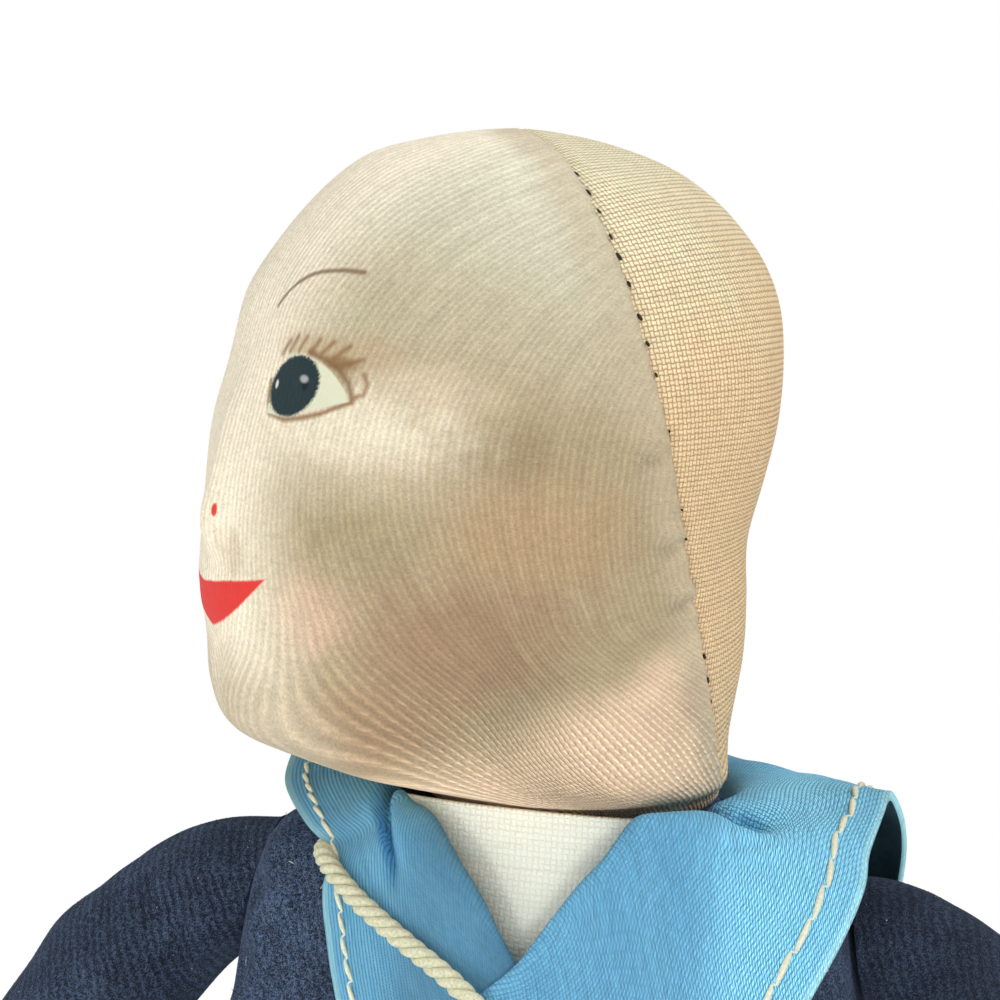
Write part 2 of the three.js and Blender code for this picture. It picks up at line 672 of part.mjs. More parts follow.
// Limbs: the left ones, and the same mirrored for the right
for (const [name, mirror] of [['left', 1], ['right', -1]]) {
  const side = new THREE.Group();
  side.scale.x = mirror;
  side.add(framed(
    leftShoulder.matrix,
    piece(`${name}_shoulder_torso_disc`, shoulderJoint.torsoDisc, fibreboard()),
    piece(`${name}_shoulder_torso_washer`, shoulderJoint.torsoWasher, steel()),
    piece(`${name}_shoulder_pin`, shoulderJoint.pin, steel()),
  ));
  const arm = framed(
    leftShoulder.matrix.clone().multiply(new THREE.Matrix4().makeRotationZ(armSwing)),
    piece(`${name}_sleeve`, armBag.skin, navyVelvet()),
    piece(`${name}_arm_stuffing`, armBag.filling, stuffing()),
    piece(`${name}_shoulder_arm_disc`, shoulderJoint.limbDisc, fibreboard()),
    piece(`${name}_shoulder_arm_washer`, shoulderJoint.limbWasher, steel()),
  );
  arm.add(framed(cuffFrame, piece(`${name}_hand`, hand, stockinette())));
  side.add(arm);
  side.add(framed(
    leftHip.matrix,
    piece(`${name}_hip_torso_disc`, hipJoint.torsoDisc, fibreboard()),
    piece(`${name}_hip_torso_washer`, hipJoint.torsoWasher, steel()),
    piece(`${name}_hip_pin`, hipJoint.pin, steel()),
    piece(`${name}_hip_leg_disc`, hipJoint.limbDisc, fibreboard()),
    piece(`${name}_hip_leg_washer`, hipJoint.limbWasher, steel()),
  ));
  side.add(
    piece(`${name}_trouser_leg`, legBag.skin, navyVelvet()),
    piece(`${name}_leg_stuffing`, legBag.filling, stuffing()),
    piece(`${name}_shoe`, shoe, blackCloth()),
    piece(`${name}_sole`, sole, blackCloth()),
  );
  doll.add(side);
}

export default doll;
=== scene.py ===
# Looks of the cloth sailor doll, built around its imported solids.
# The doll faces -Y, +X is its own left side and +Z is up. Shapes are worked out in millimetres from the
# neck axis on the floor, and become metres in the shared frame when a mesh is made.
import math

import bpy
import numpy as np
from mathutils import Matrix, Vector


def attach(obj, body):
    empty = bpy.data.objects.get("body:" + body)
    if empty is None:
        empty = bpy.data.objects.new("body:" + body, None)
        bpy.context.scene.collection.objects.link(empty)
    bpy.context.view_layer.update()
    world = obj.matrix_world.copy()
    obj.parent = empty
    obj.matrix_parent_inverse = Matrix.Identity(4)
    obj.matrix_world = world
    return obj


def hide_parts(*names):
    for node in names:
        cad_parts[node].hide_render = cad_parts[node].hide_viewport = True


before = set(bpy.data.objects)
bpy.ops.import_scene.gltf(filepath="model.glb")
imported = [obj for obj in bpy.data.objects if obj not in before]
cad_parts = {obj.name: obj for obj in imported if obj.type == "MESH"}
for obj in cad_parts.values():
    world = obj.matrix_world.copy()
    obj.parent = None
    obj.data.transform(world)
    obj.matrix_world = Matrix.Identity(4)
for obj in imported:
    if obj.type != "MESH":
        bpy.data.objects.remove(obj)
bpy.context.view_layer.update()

MM = 0.001
STANCE = 5.6
NECK = 245.5
CROTCH = 123.5
TURN = math.radians(-55)
SHOULDER = (34.5, NECK - 14, math.radians(12))
HIP = (17, CROTCH + 17, math.radians(-45))
GAP = 0.3
SIDES = {"left": 1, "right": -1}


# Numbers: smooth curves, ripples and frames

def smooth_through(knots, values, at):
    """Cubic curve through values at rising knots."""
    knots, values, at = (np.asarray(a, float) for a in (knots, values, at))
    slope = np.gradient(values, knots, axis=0)
    i = np.clip(np.searchsorted(knots, at, side="right") - 1, 0, len(knots) - 2)
    step = knots[i + 1] - knots[i]
    t = (at - knots[i]) / step
    shape = t.shape + (1,) * (values.ndim - 1)
    t, step = t.reshape(shape), step.reshape(shape)
    a, b = values[i], values[i + 1]
    ma, mb = slope[i] * step, slope[i + 1] * step
    return ((2 * t**3 - 3 * t**2 + 1) * a + (t**3 - 2 * t**2 + t) * ma
            + (3 * t**2 - 2 * t**3) * b + (t**3 - t**2) * mb)


def run_length(points):
    """Length run along a line of points, from zero."""
    return np.concatenate([[0], np.cumsum(np.linalg.norm(np.diff(points, axis=0), axis=1))])


def resample(points, count):
    run = run_length(np.asarray(points, float))
    return smooth_through(run, points, np.linspace(0, run[-1], count))


def ripple(points, wavelength, seed, waves=7):
    """Smooth seeded noise of about unit height over points."""
    rng = np.random.default_rng(seed)
    way = rng.normal(size=(waves, 3))
    way *= (2 * math.pi / wavelength * rng.uniform(0.7, 1.4, waves) / np.linalg.norm(way, axis=1))[:, None]
    return np.sin(points @ way.T + rng.uniform(0, 2 * math.pi, waves)).sum(-1) / math.sqrt(waves)


def bump_at(x, centre, width):
    return np.exp(-(((x - centre) / width) ** 2))


def ease(x, low, high):
    t = np.clip((x - low) / (high - low), 0, 1)
    return t * t * (3 - 2 * t)


def unit(vectors):
    """Vectors brought to length one."""
    return vectors / np.linalg.norm(vectors, axis=-1, keepdims=True)


def round_angles(count):
    return np.linspace(0, 2 * math.pi, count, endpoint=False)


def along_run(at, run, values):
    """Points or directions at places along a run."""
    return np.stack([np.interp(at, run, values[:, k]) for k in range(3)], -1)


def ball(rows, columns, pole):
    """Grid of points on a unit ball, open by a small angle at its poles."""
    polar = np.linspace(pole, math.pi - pole, rows)[:, None]
    theta = round_angles(columns)[None]
    return np.stack([np.sin(polar) * np.cos(theta), np.sin(polar) * np.sin(theta),
                     np.broadcast_to(-np.cos(polar), (rows, columns))], -1)


def grid_normals(points, wrap=False):
    """Unit directions square to a grid of points."""
    if wrap:
        ring = np.concatenate([points[:, -1:], points, points[:, :1]], axis=1)
        across = (ring[:, 2:] - ring[:, :-2]) / 2
    else:
        across = np.gradient(points, axis=1)
    normal = np.cross(across, np.gradient(points, axis=0))
    size = np.linalg.norm(normal, axis=2, keepdims=True)
    return normal / np.maximum(size, 1e-9)


# Meshes

def grid_faces(rows, columns, wrap=False):
    """Faces between the rows and columns of a grid of points."""
    last = columns if wrap else columns - 1
    i, j = np.meshgrid(np.arange(rows - 1), np.arange(last), indexing="ij")
    k = (j + 1) % columns
    quad = np.stack([i * columns + j, i * columns + k, (i + 1) * columns + k, (i + 1) * columns + j], -1)
    return quad.reshape(-1, 4).tolist()


def place(points):
    """Points in millimetres from the neck axis, as metres in the shared frame."""
    return (np.asarray(points, float).reshape(-1, 3) + (0, STANCE, 0)) * MM


def add_object(name, data):
    obj = bpy.data.objects.new(name, data)
    bpy.context.scene.collection.objects.link(obj)
    return obj


def new_mesh(name, points, faces, material, **attributes):
    """Mesh object in the shared frame, with named values at its points."""
    mesh = bpy.data.meshes.new(name)
    mesh.from_pydata(place(points).tolist(), [], faces)
    for key, values in attributes.items():
        layer = mesh.attributes.new(key, "FLOAT_VECTOR", "POINT")
        layer.data.foreach_set("vector", np.asarray(values, np.float32).ravel())
    mesh.materials.append(material)
    mesh.polygons.foreach_set("use_smooth", np.ones(len(mesh.polygons), bool))
    mesh.update()
    return add_object(name, mesh)


def loft(points):
    """Points and faces of a skin over rings of points, with both ends filled."""
    rows, columns = points.shape[:2]
    faces = grid_faces(rows, columns, True)
    n, last = rows * columns, (rows - 1) * columns
    for j in range(columns):
        k = (j + 1) % columns
        faces.append((n, k, j))
        faces.append((n + 1, last + j, last + k))
    return np.concatenate([points.reshape(-1, 3), [points[0].mean(0), points[-1].mean(0)]]), faces


# A direction that no path here starts along
ASKEW = (0.31, 0.83, 0.46)


def carried_sides(path):
    """Two directions square to a path at each of its points, carried along without twist."""
    tangent = unit(np.gradient(path, axis=0))
    side = np.cross(tangent[0], ASKEW)
    sides = []
    for along in tangent:
        side = unit(side - along * (side @ along))
        sides.append(side)
    return np.array(sides), np.cross(tangent, sides)


def tube(path, radius, sides=8):
    """Round tube with filled ends along a path."""
    radius = np.broadcast_to(radius, len(path))[:, None, None]
    side, other = carried_sides(path)
    angle = round_angles(sides)[None, :, None]
    return loft(path[:, None] + radius * (np.cos(angle) * side[:, None] + np.sin(angle) * other[:, None]))


class Heap:
    """Several small solids gathered into one mesh."""

    def __init__(self):
        self.points, self.faces, self.count = [], [], 0

    def add(self, solid):
        points, faces = solid
        self.points.append(points)
        self.faces += [tuple(i + self.count for i in face) for face in faces]
        self.count += len(points)

    def mesh(self, name, material):
        return new_mesh(name, np.concatenate(self.points), self.faces, material)


def thicken(obj, thickness, lining=None):
    """Gives a skin its cloth's thickness, inwards, with another material on the inside when there is one."""
    solid = obj.modifiers.new("thickness", "SOLIDIFY")
    solid.thickness = thickness * MM
    solid.offset = -1.0
    if lining:
        obj.data.materials.append(lining)
        solid.material_offset = 1


def wear(obj, body, slot, *nodes):
    """Rides a piece on a body and hides the nodes it stands for; its material slot is not used."""
    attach(obj, body)
    if nodes:
        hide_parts(*nodes)


# Shader signals

def plug(tree, value, slot):
    """Links a signal or socket to a slot, or sets the slot to a plain value."""
    value = value.socket if isinstance(value, Sig) else value
    if isinstance(value, bpy.types.NodeSocket):
        tree.links.new(value, slot)
    elif slot.type == "RGBA":
        slot.default_value = (*value, 1)
    else:
        slot.default_value = value


class Sig:
    """A number inside a material; arithmetic on it adds math nodes."""

    def __init__(self, tree, socket):
        self.tree, self.socket = tree, socket

    def op(self, kind, *rest):
        node = self.tree.nodes.new("ShaderNodeMath")
        node.operation = kind
        for slot, value in zip(node.inputs, (self, *rest)):
            plug(self.tree, value, slot)
        return Sig(self.tree, node.outputs[0])

    def __add__(self, other):
        return self.op("ADD", other)

    def __sub__(self, other):
        return self.op("SUBTRACT", other)

    def __mul__(self, other):
        return self.op("MULTIPLY", other)

    def __truediv__(self, other):
        return self.op("DIVIDE", other)

    def __neg__(self):
        return self * -1.0

    def __abs__(self):
        return self.op("ABSOLUTE")

    def sin(self):
        return self.op("SINE")

    def least(self, other):
        return self.op("MINIMUM", other)

    def most(self, other):
        return self.op("MAXIMUM", other)

    def wrap(self):
        return self.op("FRACT")

    def step(self, low, high):
        """Rises smoothly from 0 at low to 1 at high; low may be the larger."""
        if low > high:
            return -self.step(high, low) + 1.0
        node = self.tree.nodes.new("ShaderNodeMapRange")
        node.interpolation_type = "SMOOTHSTEP"
        node.inputs["From Min"].default_value = low
        node.inputs["From Max"].default_value = high
        self.tree.links.new(self.socket, node.inputs["Value"])
        return Sig(self.tree, node.outputs[0])


class Paint:
    """A node material under construction."""

    def __init__(self, name, roughness=0.9, sheen=0.0, sheen_tint=(1, 1, 1)):
        self.material = bpy.data.materials.new(name)
        self.material.use_nodes = True
        self.tree = self.material.node_tree
        self.shader = self.tree.nodes["Principled BSDF"]
        self.shader.inputs["Roughness"].default_value = roughness
        self.shader.inputs["Specular IOR Level"].default_value = 0.25
        self.shader.inputs["Sheen Weight"].default_value = sheen
        self.shader.inputs["Sheen Roughness"].default_value = 0.4
        self.shader.inputs["Sheen Tint"].default_value = (*sheen_tint, 1)

    def split(self, socket):
        """The three numbers of a vector."""
        node = self.tree.nodes.new("ShaderNodeSeparateXYZ")
        self.tree.links.new(socket, node.inputs[0])
        return [Sig(self.tree, out) for out in node.outputs]

    def values(self, name):
        """The three numbers of a mesh's named values."""
        node = self.tree.nodes.new("ShaderNodeAttribute")
        node.attribute_name = name
        return self.split(node.outputs["Vector"])

    def place(self):
        """The three object coordinates in millimetres."""
        node = self.tree.nodes.new("ShaderNodeTexCoord")
        return [number * (1 / MM) for number in self.split(node.outputs["Object"])]

    def vector(self, x, y, z=0.0):
        node = self.tree.nodes.new("ShaderNodeCombineXYZ")
        for slot, value in zip(node.inputs, (x, y, z)):
            plug(self.tree, value, slot)
        return node.outputs[0]

    def noise(self, vector, size, detail=2.0, roughness=0.5):
        """Cloudy noise from 0 to 1, with patches of about the size given."""
        node = self.tree.nodes.new("ShaderNodeTexNoise")
        node.inputs["Scale"].default_value = 1 / size
        node.inputs["Detail"].default_value = detail
        node.inputs["Roughness"].default_value = roughness
        self.tree.links.new(vector, node.inputs["Vector"])
        return Sig(self.tree, node.outputs["Fac"])

    def vectors(self, kind, first, second=None, scale=None):
        """Result of a vector operation: a number for lengths and dot products, else a vector."""
        node = self.tree.nodes.new("ShaderNodeVectorMath")
        node.operation = kind
        plug(self.tree, first, node.inputs[0])
        if second is not None:
            plug(self.tree, second, node.inputs[1])
        if scale is not None:
            plug(self.tree, scale, node.inputs["Scale"])
        if kind in ("LENGTH", "DOT_PRODUCT"):
            return Sig(self.tree, node.outputs["Value"])
        return node.outputs[0]

    def away(self, spot, centre, reach):
        """Distance from a centre, as a share of the reach across and up."""
        offset = self.vectors("SUBTRACT", spot, (*centre, 0.0))
        return self.vectors("LENGTH", self.vectors("MULTIPLY", offset, (1 / reach[0], 1 / reach[1], 0.0)))

    def line(self, spot, points):
        """Distance from a line drawn through points."""
        least = None
        for a, b in zip(points, points[1:]):
            run = (b[0] - a[0], b[1] - a[1], 0.0)
            size = run[0] ** 2 + run[1] ** 2
            offset = self.vectors("SUBTRACT", spot, (*a, 0.0))
            share = self.vectors("DOT_PRODUCT", offset, (run[0] / size, run[1] / size, 0.0))
            foot = self.vectors("SCALE", run, scale=share.most(0.0).least(1.0))
            far = self.vectors("LENGTH", self.vectors("SUBTRACT", offset, foot))
            least = far if least is None else least.least(far)
        return least

    def mix(self, amount, base, top):
        node = self.tree.nodes.new("ShaderNodeMix")
        node.data_type = "RGBA"
        for slot, value in ((node.inputs[0], amount), (node.inputs[6], base), (node.inputs[7], top)):
            plug(self.tree, value, slot)
        return node.outputs[2]

    def shade(self, colour, amount):
        """A colour darkened or lightened by a factor."""
        return self.vectors("SCALE", colour, scale=amount)

    def finish(self, colour, height, depth, roughness=None):
        """The material, with a colour and with bumps of a depth in millimetres."""
        links = self.tree.links
        links.new(colour, self.shader.inputs["Base Color"])
        bump = self.tree.nodes.new("ShaderNodeBump")
        bump.inputs["Distance"].default_value = depth * MM
        links.new(height.socket, bump.inputs["Height"])
        links.new(bump.outputs[0], self.shader.inputs["Normal"])
        if roughness:
            links.new(roughness.socket, self.shader.inputs["Roughness"])
        return self.material


def weave(u, v, pitch):
    """Height of a plain weave, from 0 between the threads to 1 on top of them."""
    a = (u * (math.pi / pitch)).sin()
    b = (v * (math.pi / pitch)).sin()
    over = (a * b).step(-0.25, 0.25)
    return abs(a) * over + abs(b) * (-over + 1.0)


def knit(u, v, wale, course):
    """Height of plain knitting: columns of slanted legs that meet in a V."""
    across = abs((u / wale).wrap() - 0.5)
    leg = ((across - 0.25) * (2 * math.pi * 2)).op("COSINE") * 0.5 + 0.5
    turn = ((v / course + across * 1.6) * (2 * math.pi)).sin() * 0.5 + 0.5
    groove = across.step(0.5, 0.36)
    return leg * (turn * 0.45 + 0.55) * (groove * 0.7 + 0.3)


# Camera: the photograph's close view of head and shoulders, a little from the doll's left and above

NECK_BASE = np.array([0, 0, NECK])


def direction(azimuth, elevation):
    """Way from the doll to where it is seen or lit from, by angles in degrees."""
    az, el = math.radians(azimuth), math.radians(elevation)
    return np.array([math.sin(az) * math.cos(el), -math.cos(az) * math.cos(el), math.sin(el)])


def make_camera(azimuth=13, elevation=9, roll=2.7, distance=390, width=113, neck_at=(7.57, -33.0)):
    """Aims so that the neck's base lands at a place in the image, in millimetres from its middle."""
    back = direction(azimuth, elevation)
    lean = math.radians(roll)
    right = unit(np.cross(-back, (0, 0, 1)))
    up = np.cross(right, -back)
    right, up = (math.cos(lean) * right + math.sin(lean) * up, math.cos(lean) * up - math.sin(lean) * right)
    eye = NECK_BASE - neck_at[0] * right - neck_at[1] * up + distance * back
    data = bpy.data.cameras.new("camera")
    data.sensor_width = 36
    data.lens = data.sensor_width * distance / width
    data.clip_start = 0.02
    obj = add_object("camera", data)
    obj.matrix_world = Matrix(np.column_stack([right, up, back]).tolist()).to_4x4()
    obj.location = place(eye)[0].tolist()
    bpy.context.scene.camera = obj


make_camera()


# Materials

def velveteen(name, tone, rows):
    paint = Paint(name, roughness=0.95, sheen=0.12, sheen_tint=(0.35, 0.5, 0.85))
    x, y, z = paint.place()
    spot = paint.vector(x, y, z)
    worn = paint.noise(spot, 9, 4.0, 0.6).step(0.35, 0.7)
    clump = paint.noise(spot, 0.4, 2.0, 0.5)
    pile = paint.noise(spot, 0.16, 1.0, 0.5)
    shade = paint.noise(spot, 3.2, 2.0, 0.5)
    rib = ((x + z * 0.35 + (shade - 0.5) * 1.5) * (2 * math.pi / 1.1)).sin() * rows
    # Painted shade: the pile's tips are dimmed towards the doll's left side
    left_side_shade = x.step(20, 40) * rows * 8
    tips = (clump * 0.35 + pile * 0.65 + (shade - 0.5) * 0.15 + rib).step(0.38, 0.72)
    tips = tips * (left_side_shade * -1.5 + 1.0).most(0.45)
    # Painted shade deep in the pile and painted light on its tips, both varied by wear
    deep = paint.mix(worn, (0.004, 0.006, 0.014), (0.007, 0.011, 0.022))
    lit = paint.mix(worn, (0.075, 0.115, 0.195), (0.1, 0.155, 0.26))
    colour = paint.shade(paint.mix(tips, deep, lit), worn * 0.1 + tone)
    return paint.finish(colour, clump * 0.5 + pile * 0.5 + rib, 0.6)


def calico():
    paint = Paint("calico", roughness=0.92, sheen=0.06)
    _, v, edge = paint.values("chart")
    u, climb, _ = paint.values("cloth")
    spot = paint.vector(u, climb)
    cloud = paint.noise(spot, 14, 4.0, 0.6)
    slub_u = paint.noise(paint.vector(u * 0.12, climb * 2.1), 1.0, 2.0)
    slub_v = paint.noise(paint.vector(u * 2.1, climb * 0.12), 1.0, 2.0)
    warp = (slub_u - 0.5) * 0.16
    cloth = weave(u + warp, climb + (slub_v - 0.5) * 0.16, 0.56)
    # Lighter towards the top: the cloth's own tone with painted top light
    base = paint.mix((cloud * 0.5 + v * 0.014).step(0.36, 0.86), (0.97, 0.71, 0.42), (1.0, 0.97, 0.7))
    gap = paint.mix(cloth.step(0.15, 0.8), (0.56, 0.37, 0.18), base)
    gap = paint.mix(edge.step(2.0, 0.3) * 0.25, gap, (0.56, 0.4, 0.23))
    mottle = paint.noise(spot, 1.3, 3.0, 0.6)
    uneven = slub_u * 0.25 + slub_v * 0.25 + mottle * 0.4 + 0.63
    return paint.finish(paint.shade(gap, uneven), cloth + slub_u * 0.3, 0.26)


def plain_knit():
    paint = Paint("stockinette_plain", roughness=0.92, sheen=0.08)
    x, y, z = paint.place()
    cloud = paint.noise(paint.vector(x, y, z), 9, 4.0, 0.6)
    base = paint.mix(cloud.step(0.3, 0.75), (0.76, 0.64, 0.46), (0.68, 0.52, 0.36))
    loops = knit(y + x * 0.35, z, 1.0, 0.8)
    return paint.finish(paint.shade(base, loops * 0.25 + 0.82), loops, 0.22)


# Painted features, on the face's chart: across from the nose and up from the middle of the face
EYE_LOWER = [(7.8, 10.6), (8.1, 8.6), (8.9, 7.1), (12.0, 6.8), (14.6, 7.4), (17.4, 8.3), (21.1, 10.2)]
EYE_UPPER = [(13.6, 14.6), (16.0, 14.2), (18.3, 13.5), (20.1, 12.2), (21.1, 10.6)]
EYE_CURL = [(21.6, 13.5), (22.4, 12.6), (22.3, 11.3), (21.3, 10.8)]
LASHES = [
    ((8.9, 13.7), (9.9, 15.3)), ((10.3, 14.2), (11.1, 15.9)), ((11.8, 14.5), (12.6, 16.1)),
    ((13.8, 14.6), (14.6, 16.1)), ((15.4, 14.7), (16.6, 16.2)), ((17.2, 14.5), (18.8, 16.2)),
    ((18.6, 14.0), (20.9, 15.1)),
]
BROW = [(4.8, 18.4), (5.9, 20.0), (7.0, 21.2), (8.5, 22.3), (10.2, 23.0), (13.1, 23.7), (15.9, 24.1)]
IRIS = (12.1, 10.6)
IRIS_REACH = (3.9, 3.45)
GLANCE = 3.3
WALE, WALE_JAW, COURSE = 0.8, 1.25, 0.95
NOSTRIL = (2.07, -4.7)
MOUTH_CORNER = 14.3
MIDLINE = 2.5
# Stains on the face's cloth mixed with painted shade, darker on the side of the face and where the cheek
# turns down, in the order they are laid: tone, centre, reach across and up, and strength
CHEEK_STAINS_AND_SHADE = [
    # These two: painted shade on the side of the face, with stains
    ((0.35, 0.265, 0.15), (38, 6), (9, 6), 0.92),
    ((0.47, 0.32, 0.18), (44, -5), (13, 12), 0.75),
    # These two: painted shade where the lower cheek and chin turn down, with stains
    ((0.355, 0.23, 0.14), (33, -18), (15, 10), 0.85),
    ((0.4, 0.27, 0.16), (20, -25), (12, 6), 0.85),
    ((0.66, 0.46, 0.32), (17, -13.5), (6.5, 5), 0.8),
    ((0.76, 0.64, 0.46), (29, 13), (9, 4), 0.65),
    ((0.4, 0.33, 0.19), (23, -2.5), (9.5, 5.5), 0.85),
    ((0.37, 0.29, 0.175), (27, -7), (4, 3), 0.6),
    ((0.8, 0.7, 0.52), (21, 5), (19, 8), 0.4),
    ((0.93, 0.84, 0.645), (20, 7.4), (17, 5), 0.75),
    ((0.51, 0.46, 0.3), (18.5, 20.5), (7.5, 4), 0.85),
    ((0.53, 0.4, 0.25), (21.5, 16), (5, 2.5), 0.6),
]
# Darker patch low on the jaw by the seam: a stain with painted shade
JAW_STAIN_AND_SHADE = ((0.72, 0.515, 0.355), (54, -44), (14, 9), 0.8)
# Darker chin, a stain with painted shade, and a painted shadow under the nose's wing
CHIN_STAINS_AND_SHADE = [
    ((0.62, 0.525, 0.37), (6, -25), (11, 7), 0.8),
    ((0.6, 0.47, 0.31), (5.4, -8.8), (3.2, 3.2), 0.5),
]
# Painted lines over the eye: tone, points, half width, softness and strength
STROKES = [
    ((0.22, 0.115, 0.045), EYE_UPPER, 0.34, 0.5, 0.9),
    ((0.3, 0.16, 0.065), EYE_CURL, 0.26, 0.35, 0.85),
    *[((0.26, 0.14, 0.06), lash, 0.24, 0.34, 0.85) for lash in LASHES],
    ((0.24, 0.15, 0.085), BROW, 0.27, 0.24, 0.9),
]


def face_knit():
    paint = Paint("stockinette", roughness=0.92, sheen=0.08)
    u, v, edge = paint.values("chart")
    mirror = abs(u + MIDLINE)
    side = mirror - MIDLINE
    spot = paint.vector(side, v)
    whole = paint.vector(u, v)
    cloud = paint.noise(whole, 8, 4.0, 0.62)
    speck = paint.noise(whole, 2.2, 3.0, 0.6)
    grain = paint.noise(whole, 0.3, 2.0, 0.7)
    mottle = paint.noise(whole, 0.9, 2.0, 0.6)
    ragged = (cloud - 0.5) * 0.9

    def patch(colour, top, centre, reach, strength):
        cover = (paint.away(spot, centre, reach) + ragged).step(1.25, 0.3) * strength
        return paint.mix(cover, colour, top)

    # Knit: upright wales that spread towards the jaw
    wale, climb, jaw = paint.values("wale")
    wobble = paint.noise(paint.vector(wale * 0.3, climb), 4.0, 2.0) * 0.45
    streak = paint.noise(paint.vector(wale * 0.55, climb * 0.09), 1.0, 3.0, 0.6)
    wale = wale + wobble
    ridge = ((wale * (2 * math.pi)).op("COSINE") * 0.5 + 0.5).op("POWER", 1.3)
    across = abs(wale.wrap() - 0.5) * 2
    vee = ((climb / COURSE + across * 0.5) * (2 * math.pi)).sin() * 0.5 + 0.5
    loops = ridge * (vee * (jaw * 0.4 + 0.2) + 0.6)
    calm = (edge.step(0.5, 5) * 0.55 + 0.45) * (jaw * 0.9 + 0.45) * (mottle * 1.6 + 0.2)

    # Cloth: cream forehead lightening to painted top light at the crown, greyed and tanned cheeks with stains
    # and painted shade, pinkish jaw with painted light from below, grey along the seam
    ragged = ragged + (streak - 0.5) * 0.7
    # Darker low on the face and lighter up to the crown, with painted top light towards the crown
    skin = paint.mix((v + ragged * 4).step(10, 22), (0.45, 0.36, 0.22), (0.55, 0.475, 0.325))
    skin = paint.mix((v + ragged * 4).step(22, 34), skin, (0.645, 0.61, 0.455))
    skin = paint.mix((v + ragged * 4).step(32, 53), skin, (0.95, 0.92, 0.74))
    for stain in CHEEK_STAINS_AND_SHADE:
        skin = patch(skin, *stain)
    # Pinkish jaw, lighter low down: its own tone with painted light from below
    skin = paint.mix((v + ragged * 5).step(-26, -36), skin, (0.94, 0.695, 0.47))
    skin = patch(skin, *JAW_STAIN_AND_SHADE)
    skin = paint.mix((side + ragged * 5).step(20, 5) * v.step(-32, -16), skin, (0.94, 0.845, 0.655))
    for stain in CHIN_STAINS_AND_SHADE:
        skin = patch(skin, *stain)
    skin = paint.mix((edge + ragged * 5).step(7, 1.5) * 0.7, skin, (0.56, 0.47, 0.32))
    skin = paint.shade(skin, speck * 0.24 + streak * 0.3 + 0.73)
    skin = paint.shade(skin, (loops - 0.4) * calm * 0.52 + (grain - 0.5) * 0.8 + (mottle - 0.5) * 0.45 + 1.0)

    def drawn(colour, top, points, width, soft, strength):
        far = paint.line(spot, points)
        return paint.mix((far + (speck - 0.5) * 0.2).step(width + soft, width - soft) * strength, colour, top)

    # Eyes: whites, glancing irises, lids and lashes
    lid_top = (side - 13) * (side - 13) * -0.062 + 14.3
    lid_low = ((side - 12) * 0.36).most(0.0) + 7.0
    opening = (lid_top - v).least(v - lid_low).least(side + v * 0.12 - 9.3).least(-side + 20.9)
    skin = drawn(skin, (0.3, 0.155, 0.065), EYE_LOWER, 0.3, 0.32, 0.9)
    white = opening.least(side - v * 0.3 - 5.9).step(-0.12, 0.2)
    skin = paint.mix(white, skin, (0.74, 0.74, 0.55))
    leaning = paint.vector(u - (v - IRIS[1]) * 0.2, v)
    left_iris = paint.away(leaning, IRIS, IRIS_REACH)
    right_iris = paint.away(leaning, (-IRIS[0] - GLANCE - 2 * MIDLINE, IRIS[1]), IRIS_REACH)
    iris = (left_iris.least(right_iris) + (grain - 0.5) * 0.25).step(1.08, 0.94) * opening.step(-0.55, -0.2)
    slate = paint.mix(speck, (0.011, 0.026, 0.031), (0.02, 0.04, 0.046))
    skin = paint.mix(iris, skin, slate)
    for shift in (0.0, -2 * IRIS[0] - GLANCE - 2 * MIDLINE):
        pupil = paint.away(whole, (IRIS[0] + 1.9 + shift, IRIS[1] + 0.3), (0.55, 0.6))
        skin = paint.mix(pupil.step(1.2, 0.6), skin, (0.008, 0.012, 0.014))
        glint = paint.away(whole, (IRIS[0] + 1.5 + shift, IRIS[1] + 1.05), (0.8, 0.5))
        skin = paint.mix(glint.step(1.2, 0.4) * 0.75, skin, (0.5, 0.53, 0.5))
        spark = paint.away(whole, (IRIS[0] - 3.0 + shift, IRIS[1] - 0.2), (0.3, 0.55))
        skin = paint.mix(spark.step(1.2, 0.5) * 0.9, skin, (0.75, 0.75, 0.68))
    smudge = (-opening).step(-0.3, 0.3)
    halo = paint.away(spot, (14.5, 15.0), (7.5, 2.2)).step(1.2, 0.2) * smudge
    skin = paint.mix(halo * 0.45, skin, (0.5, 0.34, 0.17))
    wedge = paint.away(spot, (18.3, 14.2), (2.6, 0.9)).step(1.3, 0.3)
    skin = paint.mix(wedge * 0.75, skin, (0.24, 0.13, 0.05))
    for stroke in STROKES:
        skin = drawn(skin, *stroke)

    # Mouth and nostrils
    lip_top = (mirror * mirror + 0.6).op("SQRT") * 0.11 + (u + MIDLINE) * 0.05 - 12.65
    lip_low = mirror * mirror * 0.0178 + mirror * 0.221 - 17.14
    lips = (lip_top - v).least(v - lip_low).least(-mirror + MOUTH_CORNER) + (speck - 0.5) * 0.4
    skin = paint.mix(lips.step(-0.1, 0.22), skin, paint.mix(speck, (0.73, 0.03, 0.025), (0.8, 0.055, 0.042)))
    nostril = paint.away(spot, NOSTRIL, (0.42, 0.75))
    skin = paint.mix(nostril.step(1.15, 0.7), skin, (0.75, 0.06, 0.05))
    bare = (white.most(iris).most(lips.step(-0.1, 0.22)) * -0.8) + 1.0
    return paint.finish(skin, loops * calm * bare + grain * 0.35, 0.24)


